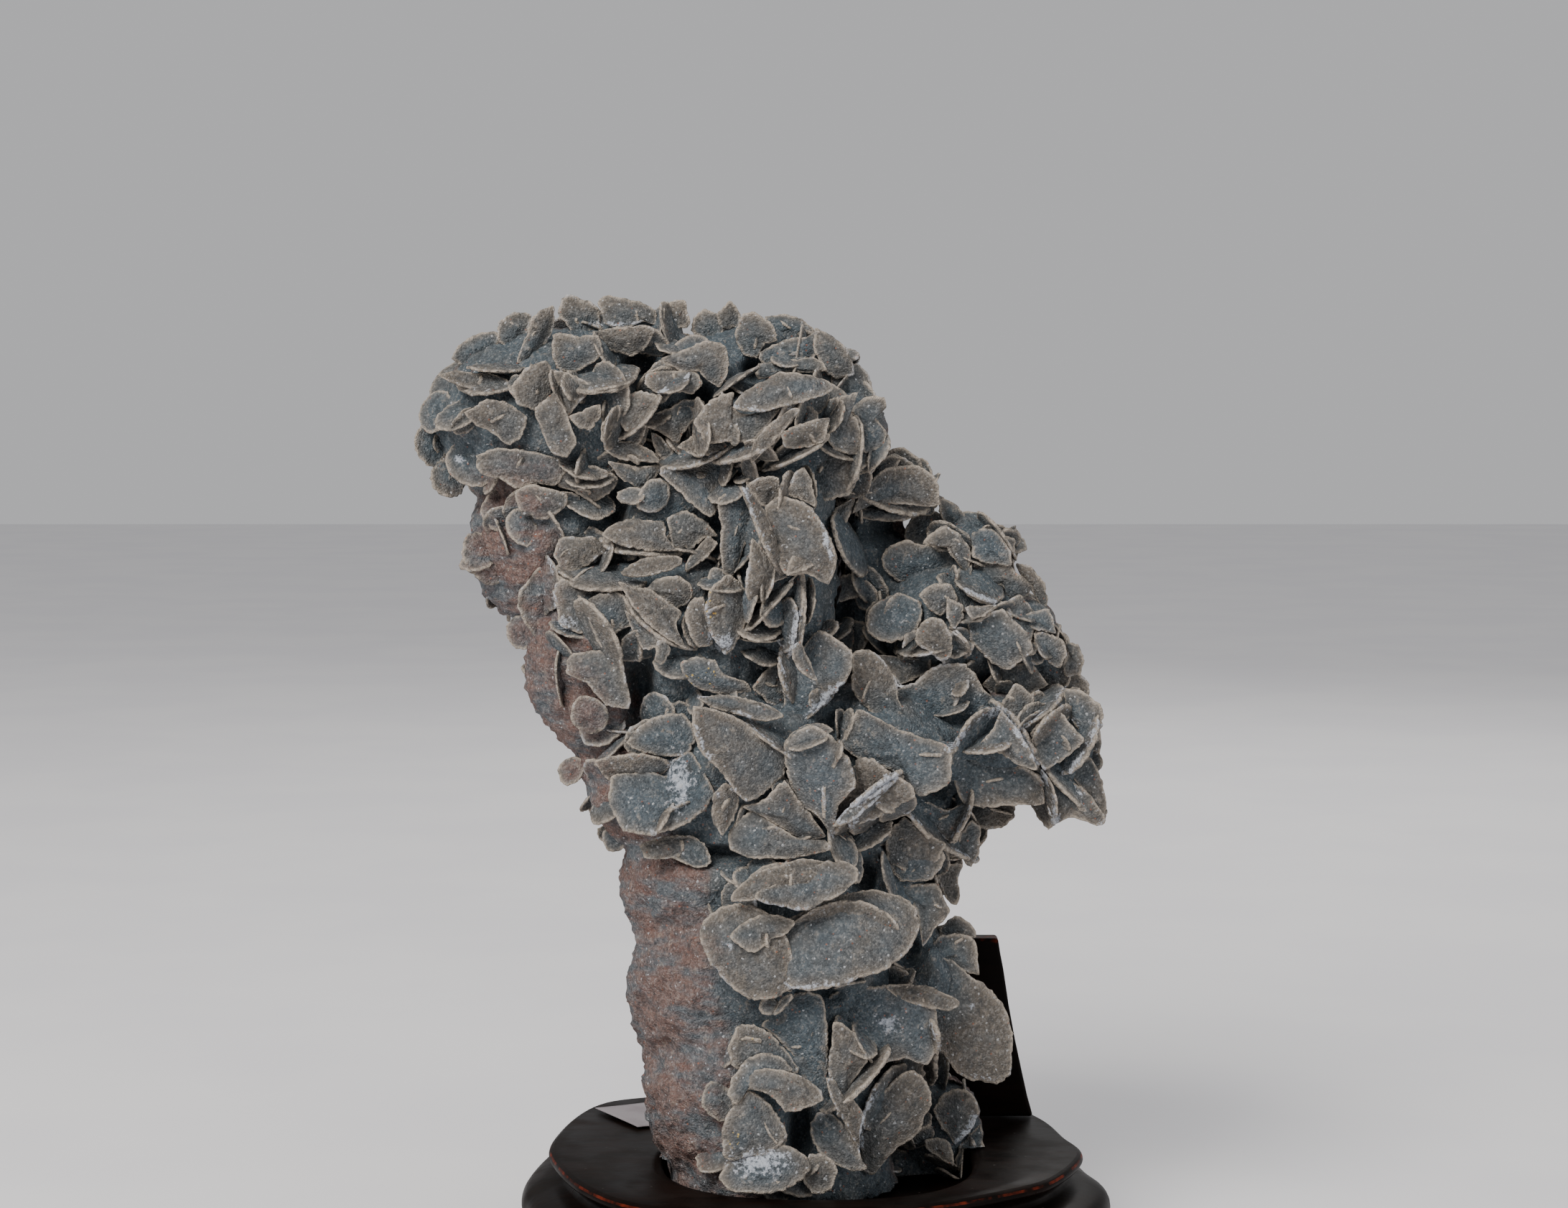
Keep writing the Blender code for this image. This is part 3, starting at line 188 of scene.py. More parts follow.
# Plates traced from their visible outlines: how far the middle stands out of the ground mass, how much deeper
# it gets per millimetre to the right and per millimetre up, then the outline as across, up pairs.
leafPlates = [
    # Lower stone.
    (5.5, 0.05, 0.50, -11.5, -63.5, -10.5, -61.2, -7.5, -58.8, -4, -57, 0, -56, 4, -54.8, 8, -55, 12, -56, 8,
     -60, 0, -63, -6, -63.8),
    (7.3, 0.05, 0.55, -6.5, -64.3, -5, -62.3, 0, -59.6, 5, -57, 9, -55.6, 13, -55.8, 15.8, -57.6, 15.7, -60,
     12.5, -62.5, 9.5, -64, 6, -65.7,
     3, -66.2, -0.5, -65.6, -4.5, -65.3),
    (6.0, 0.03, 0.42, -5.5, -75.5, -4.5, -72.5, -2, -70, 2, -67.5, 7, -65, 13, -62.8, 19, -61.6, 24.5, -62.5,
     28.5, -65, 29.4, -69, 28.3, -72.5,
     26, -76, 23, -78.5, 20, -80, 16, -81.2, 12, -82.8, 7, -83.5, 2, -83, -1.5, -81, -4.3, -78.5),
    (7.2, 0.02, -0.22, 0, -72, 2, -68.5, 5, -66.2, 9.5, -64.4, 14.5, -63.9, 19, -64.7, 23, -67, 25, -69.8, 18,
     -71.3, 12, -71.9, 6, -72.2),
    (4.0, 0.0, 0.20, -18.2, -71.5, -18, -69.5, -16.5, -67.5, -14, -65.5, -10, -64.5, -4, -66, 0, -70, 2, -76,
     1.5, -83, -0.5, -84.5, -4, -85.3,
     -7.5, -85.3, -10.5, -83.5, -13.5, -80.5, -15.8, -78, -17.5, -74.5),
    (6.0, 0.05, 0.42, -11.8, -72, -10, -69.5, -7.5, -67.8, -4.5, -66.9, -1, -67.2, 2.5, -68.5, 1, -71, -3,
     -72.5, -5.5, -75, -7.5, -75.2, -9.5, -74),
    (2.2, 0.2, 0.3, -5.5, -85.5, -3, -85, -1, -86, -2.3, -88.8, -5, -88.5), (2.8, -0.3, 0.2, -1, -85.5, 1.5,
     -84, 2, -85, -0.5, -88, -2.2, -88.8),
    (0.6, 0.0, 0.10, 0, -85, 5, -83.5, 8, -84.5, 9, -87, 9.5, -92, 9.5, -100, 8.5, -104, 5, -101.5, 2, -98,
     -1.5, -93.5, -5, -91, -3, -89),
    (5.4, 0.05, 0.08, 8.7, -87, 10, -84.2, 14, -82.8, 20, -82.3, 24, -82, 30, -83.5, 33, -88, 33.5, -94, 31,
     -99.5, 26, -98, 21, -99, 18, -98.5,
     14, -93, 10.5, -90.5),
    (5.2, 0.1, 0.40, 21.8, -83, 25, -82.2, 29, -82.1, 33, -83, 38, -86, 36, -88, 30, -87, 25, -85.5),
    (5.2, 0.15, 0.10, 28.6, -79.2, 30.3, -77.5, 33.7, -76.3, 36.6, -77, 40.5, -80.4, 43, -81.6, 45.8, -84.3,
     48.2, -88, 49.4, -92.7, 49.2, -97.6,
     48.7, -101.5, 46.8, -103.2, 44.8, -103.5, 40.5, -103.2, 37, -101, 34.6, -97.6, 31.7, -93.7, 29.8, -89.8,
     28.4, -86.4, 28.6, -82.6),
    (3.2, 0.2, 0.10, 30, -76.5, 32, -73.5, 34, -71.5, 37.5, -71, 41, -72, 41.8, -76, 42, -80, 38, -79, 34,
     -77.5),
    (1.5, 0.1, 0.20, 33.5, -70, 35.5, -68, 38, -67.5, 41, -69.5, 41.5, -72, 37, -72, 34, -72),
    (2.0, 0.1, 0.0, 33.5, -60, 33.2, -58.5, 35.5, -56, 38.5, -56, 37.5, -60, 38, -63, 37, -64.8, 35, -63.5),
    (2.8, 0.1, -0.1, 22.5, -56.5, 22, -52, 27, -50, 33, -52, 35, -55, 32, -59.5, 28, -60, 25, -59.5),
    (1.0, 0.1, 0.1, 24, -61, 28, -60.5, 33, -60, 35, -64.5, 36, -66.5, 32, -71, 30, -74, 29, -68, 27.5, -64.5),
    # Foot.
    (2.2, 0.25, 0.10, -10, -91, -6.5, -90.8, -2.7, -92.8, 0.3, -96, 3, -100, 2.8, -101.3, -3, -100.5, -8,
     -101.3, -11, -100, -12, -96),
    (3.4, 0.05, 0.30, -12.2, -106, -11.5, -103, -10.2, -100.5, -7.5, -97.8, -4, -96.6, -1, -97.5, 2, -100.5,
     -4, -104, -8, -105, -10, -108),
    (5.0, 0.0, 0.35, -8.7, -102.5, -7.5, -100.7, -3.6, -100.2, 1.2, -101, 5.1, -102.7, 8, -104.8, 8.8, -106.8,
     6, -108.2, 3.2, -109.4, 0.3, -109.7,
     -1.7, -107.3, -4.6, -105.3, -8, -104.6),
    (5.2, 0.1, 0.12, -13.3, -119.4, -13.5, -114, -12.8, -111, -10.4, -107.8, -8, -104.9, -5.5, -105.8, -2.6,
     -108.2, -0.2, -112, 0.8, -115,
     -1.2, -117.5, -3.6, -119, -7.5, -119.4, -10.9, -120.3),
    (6.2, 0.0, 0.45, -14, -123.7, -12.3, -120.3, -7.5, -118.2, -2.6, -116.5, 1.2, -117, 5.1, -119.4, 5.8,
     -121.8, 3.7, -124.2, 1.2, -126.2,
     -2.6, -127.2, -7.5, -127.4, -12.3, -126.4),
    (2.8, 0.30, 0.0, 9.6, -102.5, 9.5, -97.5, 10.2, -95.5, 10.8, -89.9, 14.8, -92.3, 18.2, -98, 14.8, -103,
     12.6, -107.8, 14, -112, 10.8, -108.5),
    (4.2, 0.45, 0.1, 9.5, -102.4, 10, -106.3, 11.4, -109.7, 13.8, -113.6, 16.7, -118, 16.5, -114.5, 17.2,
     -110.2, 14.8, -106.8, 12.9, -107.8, 11.4, -102.9),
    (8.4, 0.35, 0.0, 19.6, -105.3, 21.6, -102, 24.5, -98.5, 27, -95.6, 29.3, -97.5, 30.3, -101.5, 28, -103,
     24.5, -103, 21.6, -106),
    (5.6, 0.22, 0.05, 16.7, -119, 16.5, -114.5, 17.2, -110.2, 19.2, -107.3, 21.6, -104.8, 25, -101.5, 27.9,
     -100.5, 30.3, -102.4, 31.8, -105.3,
     32, -108.2, 30.3, -110.7, 29.8, -114, 26.9, -116.2, 24.5, -117.4, 21.6, -120.3, 19.2, -123.2, 16.7,
     -121.8),
    (3.0, 0.05, 0.15, 5.6, -112.1, 7, -109.7, 10, -109.7, 12.9, -112.1, 16.3, -117, 16.7, -119.9, 18.2,
     -121.8, 14.8, -122.5, 10.9, -121, 7.5, -118.4, 6, -115.5),
    (1.5, 0.15, 0.1, 32.2, -109.7, 33.2, -106.8, 36.1, -104.6, 39.5, -104.9, 41.9, -107.3, 42.2, -109.7, 40.5,
     -113.6, 37.1, -116.5, 34.7, -114),
    (2.5, 0.1, 0.3, 30.3, -115.5, 33.2, -115, 36.1, -116.5, 36.8, -121.3, 33.7, -119.9, 30.8, -117.4),
    (1.0, 0.2, 0.1, 37.6, -117, 42.4, -112.1, 43.1, -116.5, 43.1, -119.4, 40.5, -123.7, 37, -121.8),
    (2.0, 0.0, 0.3, 20.1, -118.4, 24, -117.4, 29.3, -118.4, 31.8, -121.3, 31.3, -123.7, 26.4, -125.7, 21.6,
     -124.2),
    (3.0, 0.1, 0.2, 4.9, -118.9, 8, -118.4, 10.9, -120.3, 11.7, -123.2, 10, -126.6, 6.1, -127.4, 4.1, -123.7),
    # Middle left.
    (3.4, 0.05, 0.30, -37, -37, -30, -36, -25, -37, -24, -33.5, -20, -32, -17.5, -36, -15, -40.5, -17, -44.5,
     -22, -48, -29, -50, -34.5, -49, -38, -43),
    (4.4, 0.05, -0.45, -41, -34.5, -37, -33, -31, -32, -26, -33.5, -24.5, -35, -26, -37, -32, -38.5, -38, -38),
    (2.0, 0.0, 0.20, -34, -30, -31, -26, -27, -24, -21.5, -23.5, -19.5, -27, -19, -30, -21, -32.5, -26, -33,
     -31, -32),
    (4.0, 0.28, 0.05, -19.5, -22, -19.7, -27, -18, -32, -14, -36, -11, -40, -8, -43, -4.5, -41, 0, -37, 1,
     -32.5, -3, -30, -7, -27, -9, -25, -14, -23),
    (6.2, 0.1, 0.55, -19, -20.5, -14, -19.5, -8, -20.3, -3, -22, 0, -24.6, -4, -25.3, -9, -24.3, -15, -22.5),
    (4.0, 0.45, 0.0, -15.5, -46, -15, -41, -13, -38.5, -10, -40, -9.5, -43, -11, -47, -13.5, -50),
    (2.4, 0.0, 0.25, -12, -50, -10, -46, -6, -44.5, -2, -47.5, 4, -51, 9, -51, 10, -53, 2, -55, -7, -55,
     -11.5, -53),
    (2.0, 0.0, 0.3, -31, -52, -26, -50, -20, -50, -17, -52, -15.5, -56, -19, -57, -24, -55, -30, -55),
    # Middle.
    (13.0, -0.3, 0.15, 0, -12, 4, -9, 8, -5.5, 12, -8, 15, -10, 14.5, -15, 11, -19.5, 7, -23.5, 2, -27, -2,
     -28.7, -3, -26, 0, -22),
    (13.0, 0.6, 0.1, 3.5, -8, 5.5, -12, 6.8, -16.8, 4, -15, 2, -12, 1.5, -9), (3.6, 0.2, 0.0, -7, -18, -3,
     -13, -0.5, -12.5, 0.5, -20, 0, -23, -4, -21),
    (3.0, 0.0, -0.15, -22.5, -13, -20, -11.5, -15, -12, -13, -15, -8, -17, -7, -19, -12, -19.5, -16, -19, -20,
     -17.5),
    (5.2, -0.15, -0.1, 0, -30, 2.5, -27.5, 6, -26.3, 9, -27.5, 12, -30.5, 14.5, -34, 15.7, -39.5, 12, -43,
     10.5, -50, 7.5, -46, 3, -43, 1, -38, 0, -33),
    (5.4, -0.1, -0.12, 15.5, -33.5, 19, -33, 22.5, -36, 27, -38.5, 28.5, -41.5, 24, -44, 19.5, -46.5, 14,
     -48.5, 10.5, -49.5, 9.5, -45, 12, -43, 15.5, -39.5),
    (10.4, 0.1, 0.5, 10.5, -48, 13, -44.5, 17, -42, 21, -39.5, 23.5, -36.5, 22, -40, 19, -43.5, 14.5, -47),
    (3.4, 0.0, -0.3, -9, -44, -4, -42, 0, -38, 3, -42, 7, -47, 9, -50.5, 4, -51, -1, -48, -5, -45.5),
    (3.6, 0.2, 0.1, 14.8, -10.5, 18, -9.6, 21.5, -12, 24.3, -16.5, 24.5, -20, 27, -25, 31, -28.5, 26, -27.8,
     21, -25.5, 17, -22, 14.5, -18),
    (4.8, 0.05, -0.12, 24, -18.5, 28, -17, 31, -14.5, 33.5, -13, 39, -13, 41.5, -15.5, 43, -18, 46, -22, 42,
     -25.5, 37, -30.5, 31, -28.5, 27.5, -26, 25, -23),
    (2.2, 0.1, 0.3, 20, -11, 27, -11.5, 31, -12, 33, -13, 30, -15.5, 25, -17.5, 24.5, -17, 22, -13.5),
    (2.0, 0.0, 0.05, 12, -30, 16, -22.5, 20, -24.5, 26, -27.5, 31, -29, 36, -31, 36, -38, 33, -40.5, 29,
     -41.5, 26, -38, 22, -35.5, 16, -33.5),
    (3.2, 0.1, -0.2, 27, -44.5, 31, -42.5, 35, -44.5, 40, -42.5, 39, -47, 36.5, -51.5, 31, -48.5),
    (5.2, 0.1, -0.1, 22, -50, 26, -46, 31, -49, 35, -52, 33, -56, 27, -58, 22, -55), (2.2, 0.2, 0.0, 37, -52,
     40, -47, 42.5, -48, 42, -54, 40, -57),
    # Arm.
    (2.6, -0.25, 0.1, 47, -23, 50.5, -27, 53, -31, 54.8, -35.8, 50, -34.5, 46, -32, 41, -32, 45, -27),
    (2.2, 0.2, 0.1, 50, -17, 54, -20, 52, -26, 49, -24, 47, -21), (2.4, -0.2, -0.1, 53, -28, 56, -24.5, 59,
     -22.5, 62, -26, 65, -29.5, 60, -34, 56, -36, 54.5, -32),
    (3.2, -0.25, 0.0, 60, -18.5, 64, -18.5, 68.5, -22, 69, -26, 66.5, -30, 61.5, -36.5, 61, -32, 65, -29, 62,
     -25),
    (3.0, 0.1, 0.15, 56, -36.5, 61, -37.5, 66, -41, 69.5, -46.5, 68, -48, 62, -46, 58.5, -47.5, 56.5, -43),
    (4.6, 0.2, 0.0, 61.5, -36, 66, -33, 68.5, -38, 69.8, -44, 68.5, -47, 65, -41),
    (1.8, 0.0, 0.05, 36, -31, 39, -33, 46, -33.5, 52, -36, 55.5, -37, 56.5, -43, 50, -43.5, 44, -44, 38.5,
     -43, 36.5, -38),
    (2.5, 0.0, -0.2, 43, -17.5, 46.5, -13.5, 50.5, -12.5, 54, -13.5, 57, -17.5, 53, -19.5, 49, -19.5, 46,
     -20.5),
    (1.5, 0.0, -0.1, 53.5, -12.5, 58, -12, 62, -13.5, 65, -16, 66, -19.5, 60, -20.5, 55.5, -19.5),
    # Column.
    (4.0, 0.05, 0.30, -26.8, 27.6, -26, 29.8, -19.6, 30.3, -10.8, 31.5, -8.6, 29.8, -12.4, 25.9, -14.7, 23.7,
     -14.7, 19.8, -16.3, 18.7, -19.6, 20.9, -24.1, 25.4),
    (4.6, -0.12, 0.05, -1, 23.5, 3.2, 22.5, 6.3, 20.4, 8.6, 17.2, 10.5, 13.1, 11.5, 10, 10.9, 7.2, 9.5, 4, 5,
     6.5, 0.5, 6, -2, 10, -4, 16, -4, 21),
    (6.0, 0.1, 0.45, 0.5, 6.2, 4, 7.2, 8.3, 9.5, 5, 10.6, 1.5, 10.4), (7.0, 0.75, 0.1, -8.7, 25.7, -6.6, 24.1,
     -4.1, 19.5, -2.3, 15, -0.5, 10, 1.1, 6.3, -0.9, 7.2,
     -3.2, 10, -5.5, 14, -7.3, 20),
    (3.0, 0.22, 0.0, -14.4, 22.7, -10, 25.4, -8.2, 25.7, -7.3, 20.9, -5.5, 14.5, -8.2, 13.6, -10, 8.1, -11.4,
     5.2, -13.2, 7.2, -13.9, 12.7, -13.7, 16.8),
    (4.0, 0.3, -0.1, -6.4, 14, -3.2, 10, -0.5, 6.3, 0.9, 5.8, -2.8, 4.5, -4.1, 2.7, -6.2, -0.1, -7.8, 0.8,
     -8.7, 4.5, -7.8, 9),
    (4.2, 0.1, 0.1, 0.9, 25.4, 2.3, 28.2, 4.5, 29.5, 5.9, 26.4, 6.8, 20.9, 3.2, 22.7, 0, 23.8), (4.0, 0.0,
     -0.3, -7.8, 25.9, -4.6, 27.7, -0.9, 27.3, -0.9, 23.6,
     -3.2, 20.9, -5.5, 21.8),
    (3.6, 0.0, 0.40, -39.4, 15, -37.8, 16.8, -33.7, 18.4, -30, 18.1, -26, 17.7, -25.5, 14.5, -22.8, 11.8,
     -27.4, 11.3, -33.7, 12, -36.9, 13.1),
    (4.2, 0.0, 0.40, -35.6, 6.5, -32.8, 8.6, -29.2, 10.2, -22.8, 10.4, -21.9, 8.6, -25.5, 6.8, -30.1, 5.8,
     -33.7, 5.8),
    (1.8, 0.0, 0.1, -25.5, 18.6, -21, 20, -16.4, 17.7, -14.1, 14.5, -16.5, 14.5, -20, 12, -24, 12), (4.0,
     -0.3, 0.3, -21.4, 8.1, -19.6, 11.3, -16.4, 14.7, -14.1, 13.1,
     -16.4, 10.4, -21, 6.8),
    (4.2, 0.28, 0.0, -12, 6.5, -16, 3, -17.3, -1, -16.5, -5, -14.5, -8.5, -12.5, -11, -10.5, -9, -9, -6, -7,
     -2, -8, 3),
    (2.8, 0.3, 0.0, -21.4, -1.9, -20.1, 0.4, -17.3, 1.7, -17, -4, -15, -8.7, -18.2, -9.7, -20.5, -6.5),
    # Left flank.
    (3.0, 0.0, 0.15, -49, 14, -47.4, 14.7, -41.5, 14.5, -37.8, 12.7, -40.1, 10, -43.8, 7.2, -48.3, 7.2, -49.7,
     10.4),
    (3.2, 0.35, 0.0, -57.7, -0.1, -57, 3.1, -53.8, 7.2, -51.1, 10, -49.9, 10, -50, 2.7, -48.8, -1.9, -51,
     -3.7, -48.3, -6, -53.3, -7.4, -56.1, -4.2),
    (3.2, 0.1, 0.1, -49.9, 2.7, -48.3, 5.8, -42.9, 3.6, -36.5, 2.2, -38.3, 0.8, -42.4, -1, -41.9, -4.6, -43.8,
     -6.5, -48.3, -4.6, -49, -1),
    (2.5, 0.15, 0.1, -42.4, 0.8, -40.1, 2.2, -36.5, 2.7, -33.7, 0.8, -32.8, -4.6, -36.5, -6.5, -39.2, -9.7,
     -41.5, -5.6),
    (2.5, -0.15, 0.1, -39.2, -9.7, -34.7, -13.3, -33.1, -20.1, -33.7, -22.5, -38.3, -22, -42.4, -17, -47,
     -15.1, -46, -11),
    (4.0, 0.25, 0.25, -35.8, 4.9, -32.4, 3.6, -29.2, 3.6, -25.5, 0.8, -21.9, -1.9, -23.3, -4.6, -21, -9.7,
     -24.6, -7.8, -28.7, -5.1, -32.4, -1),
    (2.0, 0.1, 0.0, -30.1, 2.7, -27.4, 5.4, -22.8, 6.3, -20.5, 4.5, -19.4, 1.7, -22.8, -1.4, -26, 0.8),
    (2.0, -0.2, 0.1, -34, -1.4, -31.9, -2.8, -27.4, -6.5, -26.4, -9.2, -30.5, -9.7, -32.8, -5.6), (2.6, 0.3,
     0.0, -27.4, -7.8, -25, -7.5, -24.6, -10, -26, -13, -27.8, -12),
    # Head, left part.
    (3.4, 0.0, 0.45, -40.1, 65, -38.5, 66.6, -34, 65.8, -30.2, 65.2, -27.4, 63, -27.7, 60.2, -30.2, 61, -33.5,
     59.4, -36.8, 59.7, -39, 60.8),
    (2.5, 0.0, -0.25, -40.1, 58.6, -36.8, 59.7, -30.2, 60.2, -27.7, 59.1, -29.6, 55.3, -31.3, 54.2, -32.9,
     53.3, -36.3, 54.2, -39, 55.3),
    (1.6, 0.1, 0.1, -49, 63, -47, 67, -43.5, 66, -40, 64, -39.5, 60.5, -43, 58, -46, 58.5), (3.0, 0.05, 0.0,
     -49.8, 58.6, -44.6, 58, -40.1, 58, -39, 54.2, -41.2, 51.9,
     -45.7, 49.7, -49, 50.8, -50.1, 54.7),
    (1.2, 0.1, 0.1, -61.7, 60.8, -57.9, 63, -54.5, 62.5, -55.6, 58, -57.9, 53.6, -61.7, 56.4), (2.6, 0.5, 0.0,
     -54.5, 61.9, -50.1, 64.7, -49.8, 59.7, -51.2, 56.4,
     -56.2, 51.9, -57.9, 52.5, -55.6, 58),
    (1.0, 0.0, 0.1, -70, 56.4, -65.6, 58.6, -61.7, 58.6, -61.7, 55.8, -65, 51.9, -68.9, 50.8, -71.7, 53),
     (2.2, 0.0, 0.5, -74.5, 48.6, -70, 50.3, -63.4, 49.7, -59, 47.5,
     -59.5, 45.9, -68.9, 46.6),
    (2.8, 0.2, 0.0, -59, 47, -55.1, 51.4, -51.2, 52.5, -49.8, 49.2, -50.7, 44.7, -53.4, 41.4, -57.3, 43.1),
     (2.4, 0.0, -0.2, -68.9, 41.4, -64.5, 44.2, -60.1, 43.6,
     -55.6, 40.3, -56.2, 36.4, -59.5, 34.2, -63.4, 37, -66.7, 38.7),
    (2.6, 0.1, 0.1, -49.8, 50.3, -45.7, 49.7, -41.2, 47, -44, 43.6, -46.8, 40.3, -49, 44.2), (3.0, -0.2, -0.1,
     -54, 42, -49, 45.9, -46.8, 40.3, -44.6, 34.8, -46.8, 31.5,
     -50.1, 32.6, -52.3, 37),
    (3.0, 0.1, 0.2, -46.8, 40.3, -43.5, 42, -40, 43, -39.5, 40, -42, 37.5, -44.5, 38), (5.0, 0.6, 0.0, -39.8,
     35, -39.2, 38.5, -37.6, 41.5, -35.8, 43, -35.7, 40, -37, 37.3, -38.5, 35.2),
    (3.0, 0.0, 0.2, -36.8, 42, -32.4, 45.9, -28, 45.3, -26.8, 43.1, -31.3, 39.2, -34, 37), (3.6, 0.0, 0.5,
     -39, 33.1, -37.9, 34.8, -32.4, 35.3, -28, 32.6, -26.8, 30.3,
     -30.2, 30.8, -35.7, 31.3),
    (2.0, 0.0, -0.25, -38.5, 30.9, -32.4, 29.8, -26.8, 29.8, -28, 25.9, -30.7, 24.8, -34.6, 26.5), (2.8, 0.05,
     0.0, -66.7, 32, -61.7, 33.7, -55.1, 33.1, -49, 31.5,
     -46.8, 29.2, -49, 25.4, -53.4, 25.9, -57.9, 24.8, -61.7, 27, -65.6, 28.1),
    (2.4, 0.1, -0.2, -47.9, 29.8, -40.1, 29.8, -35.7, 27, -37.4, 23.7, -41.2, 22, -45.7, 24.3, -49, 25.4),
     (2.4, 0.0, -0.1, -58.4, 24.3, -54, 25.9, -46.8, 23.7, -47.3, 20.9,
     -51.2, 18, -56.7, 19.3),
    # Head, top.
    (1.0, 0.0, 0.1, -24.6, 65.2, -21.3, 65.5, -20.2, 60.2, -23.5, 59, -25.5, 61), (0.9, 0.0, 0.1, -19.5, 62,
     -17, 63.8, -13.5, 62, -13, 58, -17, 57, -20, 59),
    (0.7, 0.1, 0.1, -14.5, 62.5, -11.7, 65.5, -9.5, 62.5, -9.5, 59.5, -13.5, 59.5), (2.0, -0.1, 0.0, -9.1,
     62.5, -6.4, 63, -2.5, 60.2, -1.4, 56.9, -4.1, 55.8, -5.8, 53,
     -9.1, 54.2, -10.8, 58),
    (4.0, -0.05, 0.0, -26.5, 52.8, -23, 54.3, -20.7, 55.3, -17.4, 56.6, -13.5, 56.4, -11.9, 53, -12.2, 49.2,
     -14.1, 46.7, -17, 48.5, -19, 50.5, -22, 50),
    (2.8, 0.0, 0.15, -29.6, 49.7, -24.6, 50.3, -19.1, 50.3, -17.4, 47.5, -19.6, 45.3, -23, 45.9, -26.8, 45.3,
     -30.2, 47.5),
    (2.5, 0.0, 0.05, -5.3, 54.2, -0.3, 57, 4.7, 57.5, 7.5, 59, 8, 55, 6.4, 53, 1, 50.5, -4.5, 51), (1.5, 0.2,
     0.1, 6.9, 59.7, 10.8, 57.5, 14.1, 54.7, 15.2, 49.7, 11.4, 48.6,
     9.1, 49.7, 6.4, 54.2),
    (0.8, 0.0, 0.2, -4, 62, 0, 62.5, 4, 61.5, 7, 58.5, 2, 57, -3, 58), (3.0, 0.0, 0.3, -5.8, 51.4, -0.3, 52.5,
     6.4, 53, 9.4, 49.7, 0.3, 50, -5.8, 48),
    (6.4, 0.0, 0.50, -11.3, 43.1, -9.7, 45.3, -5.8, 47.5, -0.8, 50, 4.2, 49.7, 9.7, 48.6, 10.8, 47, 8.6, 45.3,
     3.1, 43.1, -0.3, 42.3, -3.6, 41.7, -7.5, 42),
    (4.0, 0.0, 0.10, -15.8, 44.2, -10.8, 45.9, -11.3, 42.5, -8, 40.9, -0.8, 42, -4.7, 37, -6.9, 34.8, -13,
     35.1, -16.9, 34.8, -19.6, 39.2, -17.4, 42.5),
    (6.8, -0.5, 0.0, -6.9, 34.8, -2.5, 39.2, 1.9, 42.5, 3.1, 42, -0.3, 37, -3.6, 33.7, -7.5, 30.3), (3.6, 0.0,
     0.0, -0.8, 37, 4.2, 39.2, 9.7, 40.3, 8.6, 35.3, 5.3, 33.7, 0.3, 33.7),
    (4.5, 0.15, 0.0, 9.7, 39.8, 11.9, 44.2, 16.3, 45.9, 14.1, 42, 16.3, 39.2, 16.6, 32.6, 14.1, 32, 10.8,
     33.1, 9.1, 35.9),
    (2.0, 0.15, 0.0, 14.1, 42, 17.5, 44.7, 21.3, 44.7, 22.2, 42.5, 19.7, 40.3, 22.4, 37, 21.3, 33.7, 16.9,
     32.6, 16.6, 38.7),
    (7.0, -0.1, 0.1, 4.2, 29.2, 9.7, 32.6, 16.3, 32, 16.1, 27, 14.1, 23.7, 8.6, 22, 6.4, 23.7, 5.3, 28.1),
     (8.8, 0.0, 0.3, -23, 33.7, -19.6, 36.4, -15.2, 37, -12, 33.7, -18, 31.5),
    (2.2, 0.0, 0.0, -28.5, 40.9, -24.6, 42.5, -21.3, 44.2, -16.9, 43.6, -19.6, 39.2, -21.9, 36.4, -23, 34.2,
     -26.8, 37, -30.2, 38.1),
    (3.6, 0.2, 0.0, -28.8, 37, -26.8, 36.4, -23.5, 32.6, -25.7, 30.9, -28, 32.6),
    # Right cluster.
    (2.6, 0.0, -0.20, 14.8, 20, 17.2, 25.5, 21.7, 29.2, 28.7, 30, 32.4, 27.7, 33.5, 24.8, 33.5, 21.8, 31.6,
     21.1, 24.6, 21.5, 19.1, 21.5),
    (4.4, 0.0, 0.50, 15, 19.2, 18, 20.4, 27, 20, 29.5, 19, 25, 17.8, 19, 18), (1.0, 0.2, 0.1, 33.8, 22.9,
     36.8, 21.8, 39.4, 18.9, 39.4, 15.5, 37.2, 15.5, 34.6, 17.4, 33.5, 20),
    (2.0, 0.1, 0.0, 30.1, 13, 31.6, 15.2, 34.6, 17, 37.5, 15.5, 40.1, 12.6, 40.5, 10, 39.4, 6.7, 36, 10.4,
     34.6, 12.2),
    (10.0, 0.0, -0.15, 20.9, 10, 22.8, 12.6, 26.5, 13.9, 28.7, 13, 31.6, 12.8, 35.3, 11.1, 36.8, 8.9, 36.4, 6,
     33.8, 5.6, 30.1, 4.5, 27.2, 4.5, 23.9, 5.2, 21.7, 7.4),
    (1.5, 0.1, 0.1, 40.5, 15.5, 44.9, 16.3, 47.9, 13.3, 49.1, 11.1, 49, 8.2, 46.4, 8.5, 42.7, 8.9, 40.8, 10.4),
    (2.4, 0.0, -0.1, 40.8, 8.5, 44.9, 8.9, 49, 8.2, 51.2, 6, 53.8, 3, 51.5, 0.8, 48.2, 0.8, 47.5, 3.7, 43.4,
     4.5, 41.2, 4.8),
    (1.2, 0.2, 0.0, 50.1, 8.9, 53, 8.2, 56, 4.8, 57.1, 0.8, 56, -1.4, 53.8, 2.3, 51.2, 6), (2.6, 0.1, -0.1,
     29, 1.9, 31.6, 4.1, 36, 4.5, 37.5, 0.8, 35.3, -1.4, 33.8, -2.9,
     31.6, -1.4, 30.1, 0.8),
